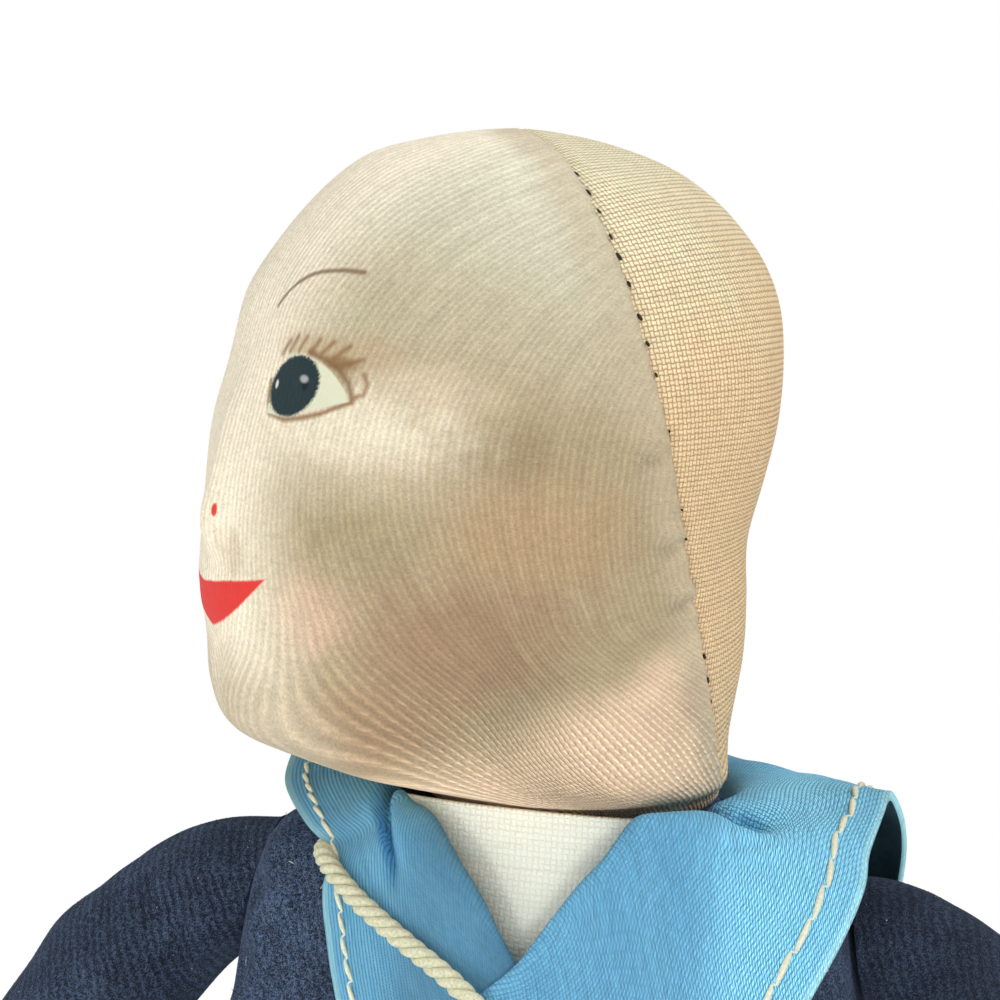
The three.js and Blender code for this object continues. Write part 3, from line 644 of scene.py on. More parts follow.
def blue_cotton():
    paint = Paint("blue_cotton", roughness=0.85, sheen=0.1, sheen_tint=(0.8, 0.9, 1))
    u, v, hem = paint.values("chart")
    x, _, _ = paint.place()
    spot = paint.vector(u, v)
    coarse = x.step(16, 26).most(x.step(-8, -14))
    cloud = paint.noise(spot, 11, 4.0, 0.6)
    warp = paint.noise(paint.vector(u * 2.2, v * 0.1), 1.0, 3.0, 0.6)
    weft = paint.noise(paint.vector(u * 0.1, v * 2.2), 1.0, 3.0, 0.6)
    mottle = paint.noise(spot, 1.0, 3.0, 0.6)
    cloth = weave(u + (weft - 0.5) * 0.2, v + (warp - 0.5) * 0.2, 0.46)
    base = paint.mix(cloud.step(0.25, 0.75), (0.14, 0.43, 0.68), (0.19, 0.52, 0.77))
    base = paint.mix(x.step(16, 26) * 0.55, base, (0.22, 0.53, 0.68))
    between = paint.mix(coarse, (0.11, 0.34, 0.57), (0.025, 0.13, 0.22))
    base = paint.mix(cloth.step(0.1, 0.8), between, base)
    base = paint.mix(hem.step(1.3, 0.3) * 0.65, base, (0.33, 0.62, 0.66))
    uneven = (warp * 0.5 + weft * 0.4 + mottle * 0.5 - 0.7) * (coarse * 0.6 + 1.0)
    # Lighter over the coarse weave, with painted light on the lapel at the doll's right, under the jaw, and
    # on the collar's wing at the doll's left
    lift_and_painted_light = coarse * 0.5 + x.step(-11, -16) * 0.55 + x.step(19, 25) * 0.3
    return paint.finish(paint.shade(base, uneven + lift_and_painted_light + 1.0), cloth + warp * 0.8, 0.18)


def blue_lining_painted_shade():
    """Wrong side of the collar's cloth, dusty, and painted dark as shade inside the collar's arch."""
    paint = Paint("blue_cotton_lining_painted_shade", roughness=0.95)
    spot = paint.vector(*paint.place())
    dust = paint.noise(spot, 5, 4.0, 0.6)
    grain = paint.noise(spot, 0.5, 2.0, 0.6)
    base = paint.mix(dust.step(0.3, 0.7), (0.016, 0.05, 0.068), (0.03, 0.085, 0.11))
    return paint.finish(paint.shade(base, grain * 0.6 + 0.7), grain, 0.15)


def cream_cotton():
    paint = Paint("cream_cotton", roughness=0.9, sheen=0.08)
    u, v, _ = paint.values("chart")
    slub = paint.noise(paint.vector(u * 0.2, v * 2.0), 1.2, 2.0)
    fine = paint.noise(paint.vector(u * 2.0, v * 0.2), 1.0, 2.0)
    cloth = weave(u + (slub - 0.5) * 0.2, v + (fine - 0.5) * 0.2, 0.66)
    base = paint.mix((slub * 0.6 + fine * 0.4).step(0.35, 0.65), (1.0, 1.0, 0.88), (0.97, 1.0, 0.86))
    return paint.finish(paint.shade(base, cloth * 0.1 + slub * 0.25 + 0.8), cloth, 0.12)


def thread(name, light, dark):
    paint = Paint(name, roughness=0.85, sheen=0.15)
    fibre = paint.noise(paint.vector(*paint.place()), 0.35, 3.0, 0.7)
    return paint.finish(paint.mix(fibre.step(0.3, 0.7), dark, light), fibre, 0.15)


def fibreboard():
    paint = Paint("fibreboard", roughness=0.85)
    fibre = paint.noise(paint.vector(*paint.place()), 0.6, 4.0, 0.7)
    return paint.finish(paint.mix(fibre, (0.16, 0.1, 0.05), (0.34, 0.22, 0.12)), fibre, 0.1)


def steel():
    paint = Paint("steel", roughness=0.4)
    paint.shader.inputs["Metallic"].default_value = 1.0
    stain = paint.noise(paint.vector(*paint.place()), 1.5, 4.0, 0.7)
    colour = paint.mix(stain.step(0.5, 0.8), (0.5, 0.49, 0.47), (0.3, 0.22, 0.16))
    return paint.finish(colour, stain, 0.05, stain * 0.4 + 0.25)


def black_cloth(name="black_cloth"):
    paint = Paint(name, roughness=0.8, sheen=0.2)
    spot = paint.vector(*paint.place())
    grain = paint.noise(spot, 0.5, 3.0, 0.6)
    worn = paint.noise(spot, 7, 4.0, 0.6)
    base = paint.mix(worn.step(0.4, 0.8), (0.014, 0.015, 0.019), (0.045, 0.045, 0.05))
    return paint.finish(paint.shade(base, grain * 0.6 + 0.7), grain, 0.12)


# The torso's and trousers' copy of the velveteen is lighter and the sleeves' copy darker: painted light and
# shade on one cloth
VELVET = velveteen("navy_velveteen", 1.36, 0.02)
SLEEVE_VELVET = velveteen("navy_velveteen_sleeves", 0.9, 0.04)
CALICO = calico()
FACE = face_knit()
MITT = plain_knit()
BLUE = blue_cotton()
SHADE_LINING = blue_lining_painted_shade()
CREAM = cream_cotton()
CORD = thread("cord_cotton", (0.77, 0.77, 0.56), (0.56, 0.55, 0.37))
SEWING = thread("sewing_thread", (0.88, 0.88, 0.7), (0.7, 0.69, 0.5))
FUZZ = thread("pile_fuzz", (0.07, 0.11, 0.19), (0.014, 0.022, 0.045))
LINT = thread("lint", (0.75, 0.76, 0.74), (0.42, 0.44, 0.46))
BOARD = fibreboard()
METAL = steel()
BLACK = black_cloth()
SOLE = black_cloth("sole_cloth")
# Dark blobs of painted shade for the holes of the seam's stitches
HOLE_SHADE = thread("seam_hole_shade", (0.06, 0.035, 0.018), (0.015, 0.01, 0.007))


# Lanyard: three twisted strands along the cord's route, and its end knot

CORD_DIAMETER = 2.4
CORD_POINTS = np.array([
    (-22.6, -13.6, -5), (-23.1, -16.4, -4.7), (-22.8, -19.2, -4.5), (-21.6, -22, -4.9), (-19.6, -24.3, -6),
    (-17, -26, -7.6), (-14, -27.1, -9.4), (-10.6, -28, -11.4), (-7.4, -28.8, -13.2), (-4.4, -29.7, -15),
    (-1.8, -30.3, -17.2), (0.2, -30.6, -20.2), (1.4, -30.8, -24), (1.9, -30.9, -28.6), (2, -31, -34),
    (1.8, -31, -40), (1.6, -31, -46), (1.4, -31, -52), (1.3, -31, -57.5),
]) + NECK_BASE
KNOT_RADIUS = 2.9
TWIST = -5.2


def strands(path, diameter, twist, count=3, sides=10):
    """Strands wound round a path, touching each other."""
    spread = diameter / 2 / (1 + math.sin(math.pi / count))
    side, other = carried_sides(path)
    run = run_length(path)
    heap = Heap()
    for k in range(count):
        angle = (2 * math.pi * (k / count + run / twist))[:, None]
        wound = path + spread * (np.cos(angle) * side + np.sin(angle) * other)
        heap.add(tube(wound, diameter / 2 - spread, sides))
    return heap


def make_lanyard():
    path = resample(CORD_POINTS, 220)
    lanyard = strands(path, CORD_DIAMETER, TWIST).mesh("lanyard_cord", CORD)
    wear(lanyard, "torso", "cream_cotton", "lanyard")
    knot_centre = CORD_POINTS[-1] - (0, 0, KNOT_RADIUS + GAP)
    turn = np.linspace(0, 2 * math.pi, 121)
    loops = KNOT_RADIUS * 0.28 * np.stack([
        np.sin(turn) + 2 * np.sin(2 * turn),
        np.cos(turn) - 2 * np.cos(2 * turn),
        -np.sin(3 * turn),
    ], -1)
    heap = strands(knot_centre + loops, CORD_DIAMETER * 0.85, TWIST * 0.7)
    end_knot = heap.mesh("lanyard_end_knot", CORD)
    wear(end_knot, "torso", "cream_cotton", "lanyard_knot")


make_lanyard()


# Head: a knitted face panel and a woven nape panel over one stuffed form

HEAD_SECTIONS = [
    (0.3, 16, 16, 16), (1.1, 16.8, 16.8, 16.8), (2.2, 17.9, 16.9, 17.6), (3.2, 20.2, 16.8, 20.2),
    (4.3, 24.4, 16.7, 23.4), (5.6, 30, 16.7, 24.9), (7.2, 35.8, 16.7, 25.7), (9.5, 39.3, 16.7, 26.3),
    (13, 40.8, 16.9, 27.1), (18, 41.4, 17.3, 28.2), (25, 42.3, 17.4, 29.5), (32, 42.4, 17, 30.5),
    (38, 42, 18.2, 31), (45, 40.8, 19.7, 31), (51, 39.4, 20.1, 30), (56, 37.9, 19.7, 28.3),
    (61, 35.3, 17.9, 25.8), (65.5, 32, 14.6, 22.3), (69.9, 27, 9, 17), (72.7, 21, 1.4, 10.6),
    (74.2, 14.8, -6.8, 3.9), (74.5, 10, -10, 0),
]
HEAD_SQUARENESS = 2.1
HEAD_CLOTH = 1.2
HEAD_ROWS, MIDDLE_COLUMNS, EDGE_COLUMNS = 260, 261, 30
# Share of each panel's half width beyond which its columns lie closer together
EDGE_FROM = 0.9
# Angles by which the nape runs under the face's edge, and by which the stitch holes lie behind it
SEAM_LAP, HOLES_BEHIND = np.radians(1.2), np.radians(0.6)
HOLE_WIDE, HOLE_DEEP, HOLE_LONG = 0.24, 0.22, 0.48
# Share of the stitches that show a hole where nothing pulls the seam open
HOLE_CHANCE = 0.35
SEAM_NAPE, SEAM_EAR, SEAM_CROWN = (14.2, -1), (-5.4, 38), (-10, 75.5)
FACE_MIDDLE = np.array([0, -11, 38])
FACE_RADIUS = 32


def section_rows(sections, count):
    """Upright sections at even steps along the skin."""
    sections = np.array(sections, float)
    run = run_length(sections)
    return smooth_through(run, sections, np.linspace(0, run[-1], count))


def oval(theta, rows, squareness, centre=0.0):
    """Points at angles from the front on rows of height, front, back and side reach."""
    z, front, back, side = (rows[:, k, None] for k in range(4))
    power = 2 / squareness
    across = np.sign(np.sin(theta)) * np.abs(np.sin(theta)) ** power
    ahead = np.sign(np.cos(theta)) * np.abs(np.cos(theta)) ** power
    x = centre + side * across
    y = (back - front) / 2 - (front + back) / 2 * ahead
    return np.stack([x, y, np.broadcast_to(z, x.shape)], -1)


def seam_angle(rows):
    """Angle from the front at which the seam crosses each row."""
    t = np.linspace(0, 1, 200)
    a, b, c = (np.array(p) for p in (SEAM_NAPE, SEAM_EAR, SEAM_CROWN))
    curve = ((1 - t) ** 2)[:, None] * a + (2 * t * (1 - t))[:, None] * b + (t**2)[:, None] * c
    y = np.interp(rows[:, 0], curve[:, 1], curve[:, 0])
    half = np.maximum((rows[:, 1] + rows[:, 2]) / 2, 1e-3)
    ahead = np.clip(((rows[:, 2] - rows[:, 1]) / 2 - y) / half, -1, 1)
    return np.arccos(np.sign(ahead) * np.abs(ahead) ** (HEAD_SQUARENESS / 2))


def chart_about(points, middle, radius, front):
    """Flat chart of a rounded skin: distances and directions from its front are kept."""
    away = unit(points - middle)
    polar = np.arccos(np.clip(front * -away[..., 1], -1, 1))
    turn = np.arctan2(away[..., 2], front * away[..., 0])
    return np.stack([radius * polar * np.cos(turn), radius * polar * np.sin(turn), 0 * polar], -1)


def spun(points, angle):
    """Points turned about the upright axis."""
    c, s = math.cos(angle), math.sin(angle)
    x, y, z = np.moveaxis(points, -1, 0)
    return np.stack([c * x - s * y, s * x + c * y, z], -1)


def turned_head(points):
    """From the head's own frame, with its face ahead, to the doll's."""
    return spun(points, TURN) + NECK_BASE


def face_relief(u, v):
    """How far the pressed mask stands proud of the plain form."""
    side = np.abs(u)
    bridge = 0.55 * bump_at(u, 0, 2.6) * ease(v, 14, 4) * ease(v, -12, -6)
    tip = 1.05 * bump_at(u, 0, 3.2) * bump_at(v, -6, 4.2) * ease(v, -11.2, -8.2)
    socket = -0.5 * bump_at(side, 14, 7) * bump_at(v, 10.5, 5)
    brow = 0.25 * bump_at(side, 12, 9) * bump_at(v, 19, 4)
    lips = 0.35 * bump_at(u, 0, 8) * (bump_at(v, -12.6, 1.4) + bump_at(v, -15.2, 1.6))
    cheek = 0.3 * bump_at(side, 20, 9) * bump_at(v, -6, 8)
    chin = 0.3 * bump_at(u, 0, 8) * bump_at(v, -24, 4)
    return bridge + tip + socket + brow + lips + cheek + chin


def knit_run(points, rows):
    """Wale count, run along the wale and closeness to the jaw at each point of the face."""
    middle = points.shape[1] // 2
    arc = np.stack([run_length(line) for line in points], 0)
    arc = np.abs(arc - arc[:, middle:middle + 1])
    tuck = np.searchsorted(rows[:, 0], 11)
    arc[:tuck] = arc[tuck]
    climb = np.stack([run_length(points[:, j]) for j in range(points.shape[1])], 1)
    z = rows[:, :1]
    lean_top = 0.5 * 0.034 * np.maximum(z - 44, 0) ** 2
    below = np.maximum(47 - z, 0)
    lean_jaw = np.where(below < 20, 0.5 * 0.03 * below**2, 0.6 * (below - 10))
    lean = (lean_top + lean_jaw * (1 - 0.5 * ease(arc, 34, 46))) * ease(arc, 0, 40)
    lean = lean + 7 * ease(z, 23, 7) * bump_at(arc, 27, 14)
    spread = ease(z, 26, 9)
    wale = (arc - 22 - lean) / (WALE + (WALE_JAW - WALE) * spread)
    jaw = spread * ease(arc, 8, 32)
    return np.stack([wale, climb, jaw], -1)


NAPE_POLE = math.radians(120)


def cloth_run(points):
    """Chart of each half of the nape about its own side, along the threads."""
    half = np.concatenate([np.abs(points[..., :1]), points[..., 1:]], -1)
    return chart_about(spun(half, -NAPE_POLE), spun(FACE_MIDDLE, -NAPE_POLE), FACE_RADIUS, 1)


STITCH_PITCH = 3.1
# Heights of the deepest puckers beside the seam
PUCKERS = (44.7, 35, 28.5)


def seam_relief(height, edge):
    """Raised fold along the face's edge, with puckers where the stitches pull."""
    fold = 0.5 * bump_at(edge, 0, 2.6) * ease(edge, -0.1, 0.7)
    pull = 0.1 * np.sin(2 * math.pi * height / STITCH_PITCH) * bump_at(edge, 0, 2.2)
    near = bump_at(edge, 0, 3.4) * ease(edge, 0, 1.4)
    for middle in PUCKERS:
        pull = pull + (1.3 * bump_at(height, middle, 0.8) - 1.0 * bump_at(height, middle - 1.9, 0.8)) * near
    return fold + pull


def make_seam_holes(line, out):
    """Dark blobs of painted shade in the holes of the ladder stitches, on the nape's side of the seam."""
    run = run_length(line)
    rng = np.random.default_rng(11)
    heap = Heap()
    hole = ball(8, 10, 0.05)
    for start in np.arange(4, run[-1] - 6, STITCH_PITCH):
        at = start + rng.uniform(-0.4, 0.4)
        point, normal = along_run(at, run, line), along_run(at, run, out)
        along = unit(along_run(at + 0.5, run, line) - point)
        across = np.cross(along, normal)
        pulled = ease(point[2], 50, 56) + ease(point[2], 24, 18)
        if rng.uniform() > HOLE_CHANCE + pulled:
            continue
        size = rng.uniform(0.75, 1.15) * (0.45 + 0.55 * pulled)
        lean = unit(along + rng.uniform(-0.4, 0.1) * across)
        wide = HOLE_WIDE * size * np.cross(lean, normal)
        axes = np.stack([wide, HOLE_DEEP * normal, HOLE_LONG * size * lean])
        heap.add(loft(turned_head(point + hole @ axes)))
    return heap


def make_head():
    rows = section_rows(HEAD_SECTIONS, HEAD_ROWS)
    angle = seam_angle(rows)[:, None]
    near_edge = np.linspace(EDGE_FROM, 1, EDGE_COLUMNS)
    middle = np.linspace(-EDGE_FROM, EDGE_FROM, MIDDLE_COLUMNS)[1:-1]
    share = np.concatenate([-near_edge[::-1], middle, near_edge])
    girth = (rows[:, 3, None] + (rows[:, 1, None] + rows[:, 2, None]) / 2) / 2
    for name, material, slot, front in (
            ("face_panel_knit", FACE, "stockinette", 1), ("nape_panel_cloth", CALICO, "calico", -1)):
        if front > 0:
            theta = angle * share
            edge = angle * (1 - np.abs(share)) * girth
        else:
            sweep = math.pi - angle + SEAM_LAP
            theta = math.pi + sweep * share
            edge = sweep * (1 - np.abs(share)) * girth
        points = oval(theta, rows, HEAD_SQUARENESS)
        chart = chart_about(points, FACE_MIDDLE, FACE_RADIUS, front)
        normals = grid_normals(points)
        if front > 0:
            height = np.broadcast_to(rows[:, :1], edge.shape)
            rise = face_relief(chart[..., 0], chart[..., 1]) + seam_relief(height, edge)
            rise = rise * ease(rows[:, :1], 2, 8) * ease(rows[:, :1], 74.4, 70)
        else:
            rise = -0.3 * bump_at(edge, 0, 1.2) * ease(rows[:, :1], 2, 8)
        rise = rise + 0.18 * ripple(points, 17, 21) * ease(rows[:, :1], 3, 9)
        chart[..., 2] = edge
        values = {"chart": chart.reshape(-1, 3)}
        if front > 0:
            values["wale"] = knit_run(points, rows).reshape(-1, 3)
        else:
            values["cloth"] = cloth_run(points).reshape(-1, 3)
        panel = new_mesh(name, turned_head(points + rise[..., None] * normals), grid_faces(*points.shape[:2]),
                         material, **values)
        thicken(panel, HEAD_CLOTH)
        nodes = ("face_panel", "head_stuffing") if front > 0 else ("nape_panel",)
        wear(panel, "head", slot, *nodes)
    keep = rows[:, 0] > 4
    for name, sign in SIDES.items():
        line = oval(sign * (angle + HOLES_BEHIND), rows, HEAD_SQUARENESS)[:, 0]
        seam = oval(sign * angle, rows, HEAD_SQUARENESS)[:, 0]
        out = oval(sign * angle, rows + (0, 1, 1, 1), HEAD_SQUARENESS)[:, 0] - seam
        out = out / np.maximum(np.linalg.norm(out, axis=1, keepdims=True), 1e-6)
        holes = make_seam_holes((line - 0.1 * out)[keep], out[keep]).mesh(name + "_seam_hole_shade", HOLE_SHADE)
        wear(holes, "head", "calico")


make_head()


# Torso, sleeves and trouser legs: stuffed velveteen bags, pressed flat where two of them meet

TORSO_SECTIONS = [
    (CROTCH - 5, 4, 4, 5), (CROTCH - 4, 13, 13, 16), (CROTCH + 5, 19, 18, 26), (CROTCH + 18, 23.5, 21.5, 33),
    (CROTCH + 34, 25.5, 22.5, 35.5), (CROTCH + 54, 26, 22, 35.5), (NECK - 45, 25, 21, 37),
    (NECK - 26, 23, 20.2, 38.5), (NECK - 14, 21, 19.6, 38.8), (NECK - 8, 19.6, 19, 37.4),
    (NECK - 5, 18.8, 18.4, 33.5), (NECK - 3.6, 18.2, 18, 27), (NECK - 2.4, 17.3, 17.2, 18.4),
    (NECK - 0.3, 16.8, 16.8, 16.8),
]
TORSO_SQUARENESS = 2.35
TORSO_ROWS, TORSO_COLUMNS = 150, 240
# Ridge of cloth round each armhole: its distance from the joint's face, its width, height and unevenness
ARMHOLE_AT, ARMHOLE_WIDTH, ARMHOLE_RISE, ARMHOLE_LUMPS = -4.2, 1.9, 1.1, 0.35
# The collar covers the torso this far down from the neck, and across from this place
COLLAR_DROP, COLLAR_FROM = 62, -27
TORSO_PILE, SLEEVE_PILE, TROUSER_PILE = 24000, 9000, 12000


def joint_frame(x, height, tilt):
    """Point, direction into the limb, and downward direction of a left-side joint."""
    axis = np.array([math.cos(tilt), 0, math.sin(tilt)])
    down = np.array([math.sin(tilt), 0, -math.cos(tilt)])
    return np.array([x, 0, height]), axis, down


def pressed(points, point, normal, soft=1.5):
    """Points kept behind a plane, with a rounded edge."""
    depth = (points - point) @ normal + GAP
    kept = (depth - np.sqrt(depth**2 + soft**2)) / 2
    return points + (kept - depth)[..., None] * normal


JOINT_MARGIN = 1.6


def joint_face(joint, side):
    """Point and direction into the limb of a joint on one side."""
    point, axis, _ = joint_frame(*joint)
    flip = np.array([side, 1, 1])
    return point * flip, axis * flip


def kept_behind(points, point, normal):
    """Points with none of them past a joint's face."""
    past = np.maximum((points - point) @ normal + GAP, 0)
    return points - past[..., None] * normal


def near_joints(points, faces):
    """Where points lie close to a joint's face or inside the neck."""
    near = points[..., 2] > NECK - 4
    for point, axis in faces:
        near |= np.abs((points - point) @ axis) < JOINT_MARGIN
    return near


def mirrored(points, side):
    """A left-side grid as it is, or as its right-side twin with the same facing."""
    if side > 0:
        return points
    return (points * (-1, 1, 1))[:, ::-1]


FIBRE_RADIUS = 0.07
PILE_LENGTH, PILE_LIE = 0.6, 0.5
LINT_LENGTH, LINT_LIE = 1.1, 0.95
PILE_PER_LINT = 60


def scatter(name, points, bare, count, length, lie, seed, material):
    """Fine tapered fibres over a grid, none where it is bare; lie 0 stands them up, 1 lays them down."""
    normals = grid_normals(points, True)
    diagonals = (points[1:, 1:] - points[:-1, :-1], points[1:, :-1] - points[:-1, 1:])
    size = np.linalg.norm(np.cross(*diagonals), axis=2) * ~bare[:-1, :-1]
    rng = np.random.default_rng(seed)
    cell = rng.choice(size.size, count, p=(size / size.sum()).ravel())
    i, j = np.unravel_index(cell, size.shape)
    a, b = rng.uniform(size=(2, count, 1))
    root = points[i, j] + a * (points[i + 1, j] - points[i, j]) + b * (points[i, j + 1] - points[i, j])
    out = normals[i, j]
    way = unit(np.cross(out, rng.normal(size=(count, 3))))
    stretch = length * rng.uniform(0.5, 1.3, (count, 1))
    tip = root + stretch * ((1 - lie) * out + lie * way) + 0.1 * out
    bow = 0.25 * stretch * np.cross(out, way) * rng.uniform(-1, 1, (count, 1))
    middle = (root + tip) / 2 + bow + 0.15 * lie * out
    side = FIBRE_RADIUS * np.cross(way, out)
    other = FIBRE_RADIUS * out
    corners = ((1, 0), (-0.5, 0.87), (-0.5, -0.87))
    rings = [centre + c * side + s * other for centre in (root, middle) for c, s in corners]
    flat = np.stack([*rings, tip], 1).reshape(-1, 3)
    quads = [(0, 1, 4, 3), (1, 2, 5, 4), (2, 0, 3, 5)]
    ends = [(3, 4, 6), (4, 5, 6), (5, 3, 6)]
    faces = [tuple(7 * k + p for p in face) for k in range(count) for face in quads + ends]
    return new_mesh(name, flat, faces, material)


def dress_pile(name, body, points, bare, count, seed):
    """Standing pile and loose lint on a velveteen piece."""
    few = count // PILE_PER_LINT
    fuzz = scatter(name + "_pile_fuzz", points, bare, count, PILE_LENGTH, PILE_LIE, seed, FUZZ)
    lint = scatter(name + "_lint", points, bare, few, LINT_LENGTH, LINT_LIE, seed + 1, LINT)
    for piece in (fuzz, lint):
        wear(piece, body, "navy_velveteen")


PUFF_SCALE = 0.01
PUFF_FRAMES = 20
PUFF_MOST = 0.9


def puff(points, held, give=1.0):
    """Skin of a stuffed bag after a cloth simulation: slack cloth under pressure, between held seams.

    The give is the share of the movement that each point keeps.
    """
    rows, columns = points.shape[:2]
    coarse, fixed = points[::2, ::2], held[::2, ::2].copy()
    fixed[[0, 1, -2, -1]] = True
    flat, faces = loft(coarse)
    mesh = bpy.data.meshes.new("bag")
    mesh.from_pydata((flat * PUFF_SCALE).tolist(), [], faces)
    bag = add_object("bag", mesh)
    scene = bpy.context.scene
    ends = [fixed.size, fixed.size + 1]
    bag.vertex_groups.new(name="held").add(np.flatnonzero(fixed).tolist() + ends, 1.0, "REPLACE")
    cloth = bag.modifiers.new("cloth", "CLOTH")
    cloth.collision_settings.use_collision = False
    cloth.point_cache.frame_end = PUFF_FRAMES
    cloth.settings.quality = 4
    cloth.settings.bending_stiffness = 0.2
    cloth.settings.shrink_min = -0.05
    cloth.settings.use_pressure = True
    cloth.settings.uniform_pressure_force = 4
    cloth.settings.vertex_group_mass = "held"
    cloth.settings.effector_weights.gravity = 0
    for number in range(1, PUFF_FRAMES + 1):
        scene.frame_set(number)
    after = np.empty(len(flat) * 3, np.float32)
    bag.evaluated_get(bpy.context.evaluated_depsgraph_get()).data.vertices.foreach_get("co", after)
    scene.frame_set(1)
    bpy.data.objects.remove(bag)
    bpy.data.meshes.remove(mesh)
    move = (after.reshape(-1, 3) / PUFF_SCALE - flat)[:fixed.size].reshape(coarse.shape)
    size = np.linalg.norm(move, axis=-1, keepdims=True)
    move = move * (PUFF_MOST * np.tanh(size / PUFF_MOST) / np.maximum(size, 1e-6))
    i = np.minimum(np.arange(rows) / 2, len(coarse) - 1)
    low = np.minimum(i.astype(int), len(coarse) - 2)
    share = (i - low)[:, None, None]
    fine = move[low] * (1 - share) + move[low + 1] * share
    between = (fine + np.roll(fine, -1, axis=1)) / 2
    fine = np.stack([fine, between], 2).reshape(rows, columns, 3)
    fine[1:-1] = (fine[:-2] + 2 * fine[1:-1] + fine[2:]) / 4
    return points + fine * np.broadcast_to(give, (rows, columns))[..., None]


def make_torso():
    rows = section_rows(TORSO_SECTIONS, TORSO_ROWS)
    points = oval(round_angles(TORSO_COLUMNS)[None], rows, TORSO_SQUARENESS)
    armholes = [joint_face(SHOULDER, side) for side in SIDES.values()]
    faces = armholes + [joint_face(HIP, side) for side in SIDES.values()]
    for face in faces:
        points = pressed(points, *face)
    normals = grid_normals(points, True)
    lumps = ripple(points, 7, 12)
    for point, axis in armholes:
        ridge = bump_at((points - point) @ axis, ARMHOLE_AT, ARMHOLE_WIDTH)
        ridge = ridge * (ARMHOLE_RISE + ARMHOLE_LUMPS * lumps)
        points = points + ridge[..., None] * normals
    points = points + 0.4 * ripple(points, 24, 3)[..., None] * normals
    under_collar = (points[..., 2] > NECK - COLLAR_DROP) & (points[..., 0] > COLLAR_FROM)
    points = puff(points, near_joints(points, faces) | under_collar)
    for face in faces:
        points = kept_behind(points, *face)
    dress_pile("torso", "torso", points, near_joints(points, faces), TORSO_PILE, 41)
    torso = new_mesh("torso_velveteen", *loft(points), VELVET)
    wear(torso, "torso", "navy_velveteen", "torso_cover", "torso_stuffing")


ARM_SWING = math.radians(-8)
ARM_TILT = math.radians(90 - 39.5) + SHOULDER[2]
SHOULDER_RUN = {1: 17, -1: 16}
SLEEVE_LENGTH = 74
SLEEVE_RADIUS = 7.8
CUFF_FLARE = 0.6
SLEEVE_FULLNESS = {1: 1.5, -1: 1.9}
SLEEVE_LEAN = 0.5
SLEEVE_ROWS, CUFF_ROWS, SLEEVE_COLUMNS = 120, 12, 96
CUFF_INSIDE = 6.1


def arm_place(points):
    """From the left arm's own frame to the doll's."""
    point, axis, down = joint_frame(*SHOULDER)
    x, y, z = np.moveaxis(spun(points, ARM_SWING), -1, 0)
    return point + x[..., None] * down + y[..., None] * (0, 1, 0) + z[..., None] * axis


ARM_RUN = np.array([math.sin(ARM_TILT), 0, math.cos(ARM_TILT)])
CUFF = ARM_RUN * SLEEVE_LENGTH


def make_sleeve(name, side):
    t = np.concatenate([np.linspace(0, 1, SLEEVE_ROWS), np.linspace(1, 0.955, CUFF_ROWS)])
    full = bump_at(t, 0.48, 0.2)
    radius = SLEEVE_RADIUS + SLEEVE_FULLNESS[side] * full + CUFF_FLARE * ease(t, 0.86, 1)
    radius[SLEEVE_ROWS:] = np.linspace(SLEEVE_RADIUS + CUFF_FLARE, CUFF_INSIDE, CUFF_ROWS)
    a, b, c, d = np.array((0, 0, -4)), np.array((0, 0, SHOULDER_RUN[side])), CUFF * 0.5, CUFF
    k = t[:, None]
    path = (1 - k) ** 3 * a + 3 * k * (1 - k) ** 2 * b + 3 * k**2 * (1 - k) * c + k**3 * d
    along = unit(3 * (1 - k) ** 2 * (b - a) + 6 * k * (1 - k) * (c - b) + 3 * k**2 * (d - c))
    across = np.cross(along, (0, 1, 0))
    path = path + SLEEVE_LEAN * full[:, None] * across
    theta = round_angles(SLEEVE_COLUMNS)[None, :, None]
    ring = np.cos(theta) * np.array((0, 1, 0)) + np.sin(theta) * -across[:, None]
    points = path[:, None] + radius[:, None, None] * ring
    points = pressed(points, np.zeros(3), np.array((0, 0, -1)))
    normals = grid_normals(points, True)
    points = points + (0.25 * ripple(points + 50 * side, 13, 5))[..., None] * normals
    points = mirrored(arm_place(points), side)
    point, axis = joint_face(SHOULDER, side)
    held = near_joints(points, [(point, axis)])
    held[SLEEVE_ROWS - 4:] = True
    give = ease((points - point) @ axis, 5, 18)
    points = kept_behind(puff(points, held, give), point, -axis)
    shown = points[:SLEEVE_ROWS]
    bare = near_joints(shown, [(point, axis)])
    dress_pile(name + "_sleeve", name + "_arm", shown, bare, SLEEVE_PILE, 43 + side)
    sleeve = new_mesh(name + "_sleeve_velveteen", *loft(points), SLEEVE_VELVET)
    wear(sleeve, name + "_arm", "navy_velveteen", name + "_sleeve", name + "_arm_stuffing")


HAND_LENGTH = 25
HAND_ROWS, THUMB_ROWS, HAND_COLUMNS = 60, 30, 64
WRIST_RADIUS = 5.6
THUMB_SPREAD = -0.45
THUMB_REACH = (2.6, 2.8, 6.6)
THUMB_PLACE = (-7.2, 0, 0.42 * HAND_LENGTH)
# Height, thickness and width
HAND_SECTIONS = [
    (-5, WRIST_RADIUS, WRIST_RADIUS), (0.3, WRIST_RADIUS, WRIST_RADIUS), (6.25, WRIST_RADIUS, 7.4),
    (12.5, 5.3, 8.2), (18.75, 4.6, 7.6), (23, 3.2, 5.2), (24.7, 1.6, 2.6), (HAND_LENGTH, 0.2, 0.2),
]


def join_smoothly(obj, voxel, rounds):
    """Joins the overlapping solids of a mesh into one skin and softens where they meet."""
    remesh = obj.modifiers.new("join", "REMESH")
    remesh.mode = "VOXEL"
    remesh.voxel_size = voxel * MM
    remesh.use_smooth_shade = True
    soften = obj.modifiers.new("soften", "SMOOTH")
    soften.iterations = rounds
    soften.factor = 0.5
    return obj


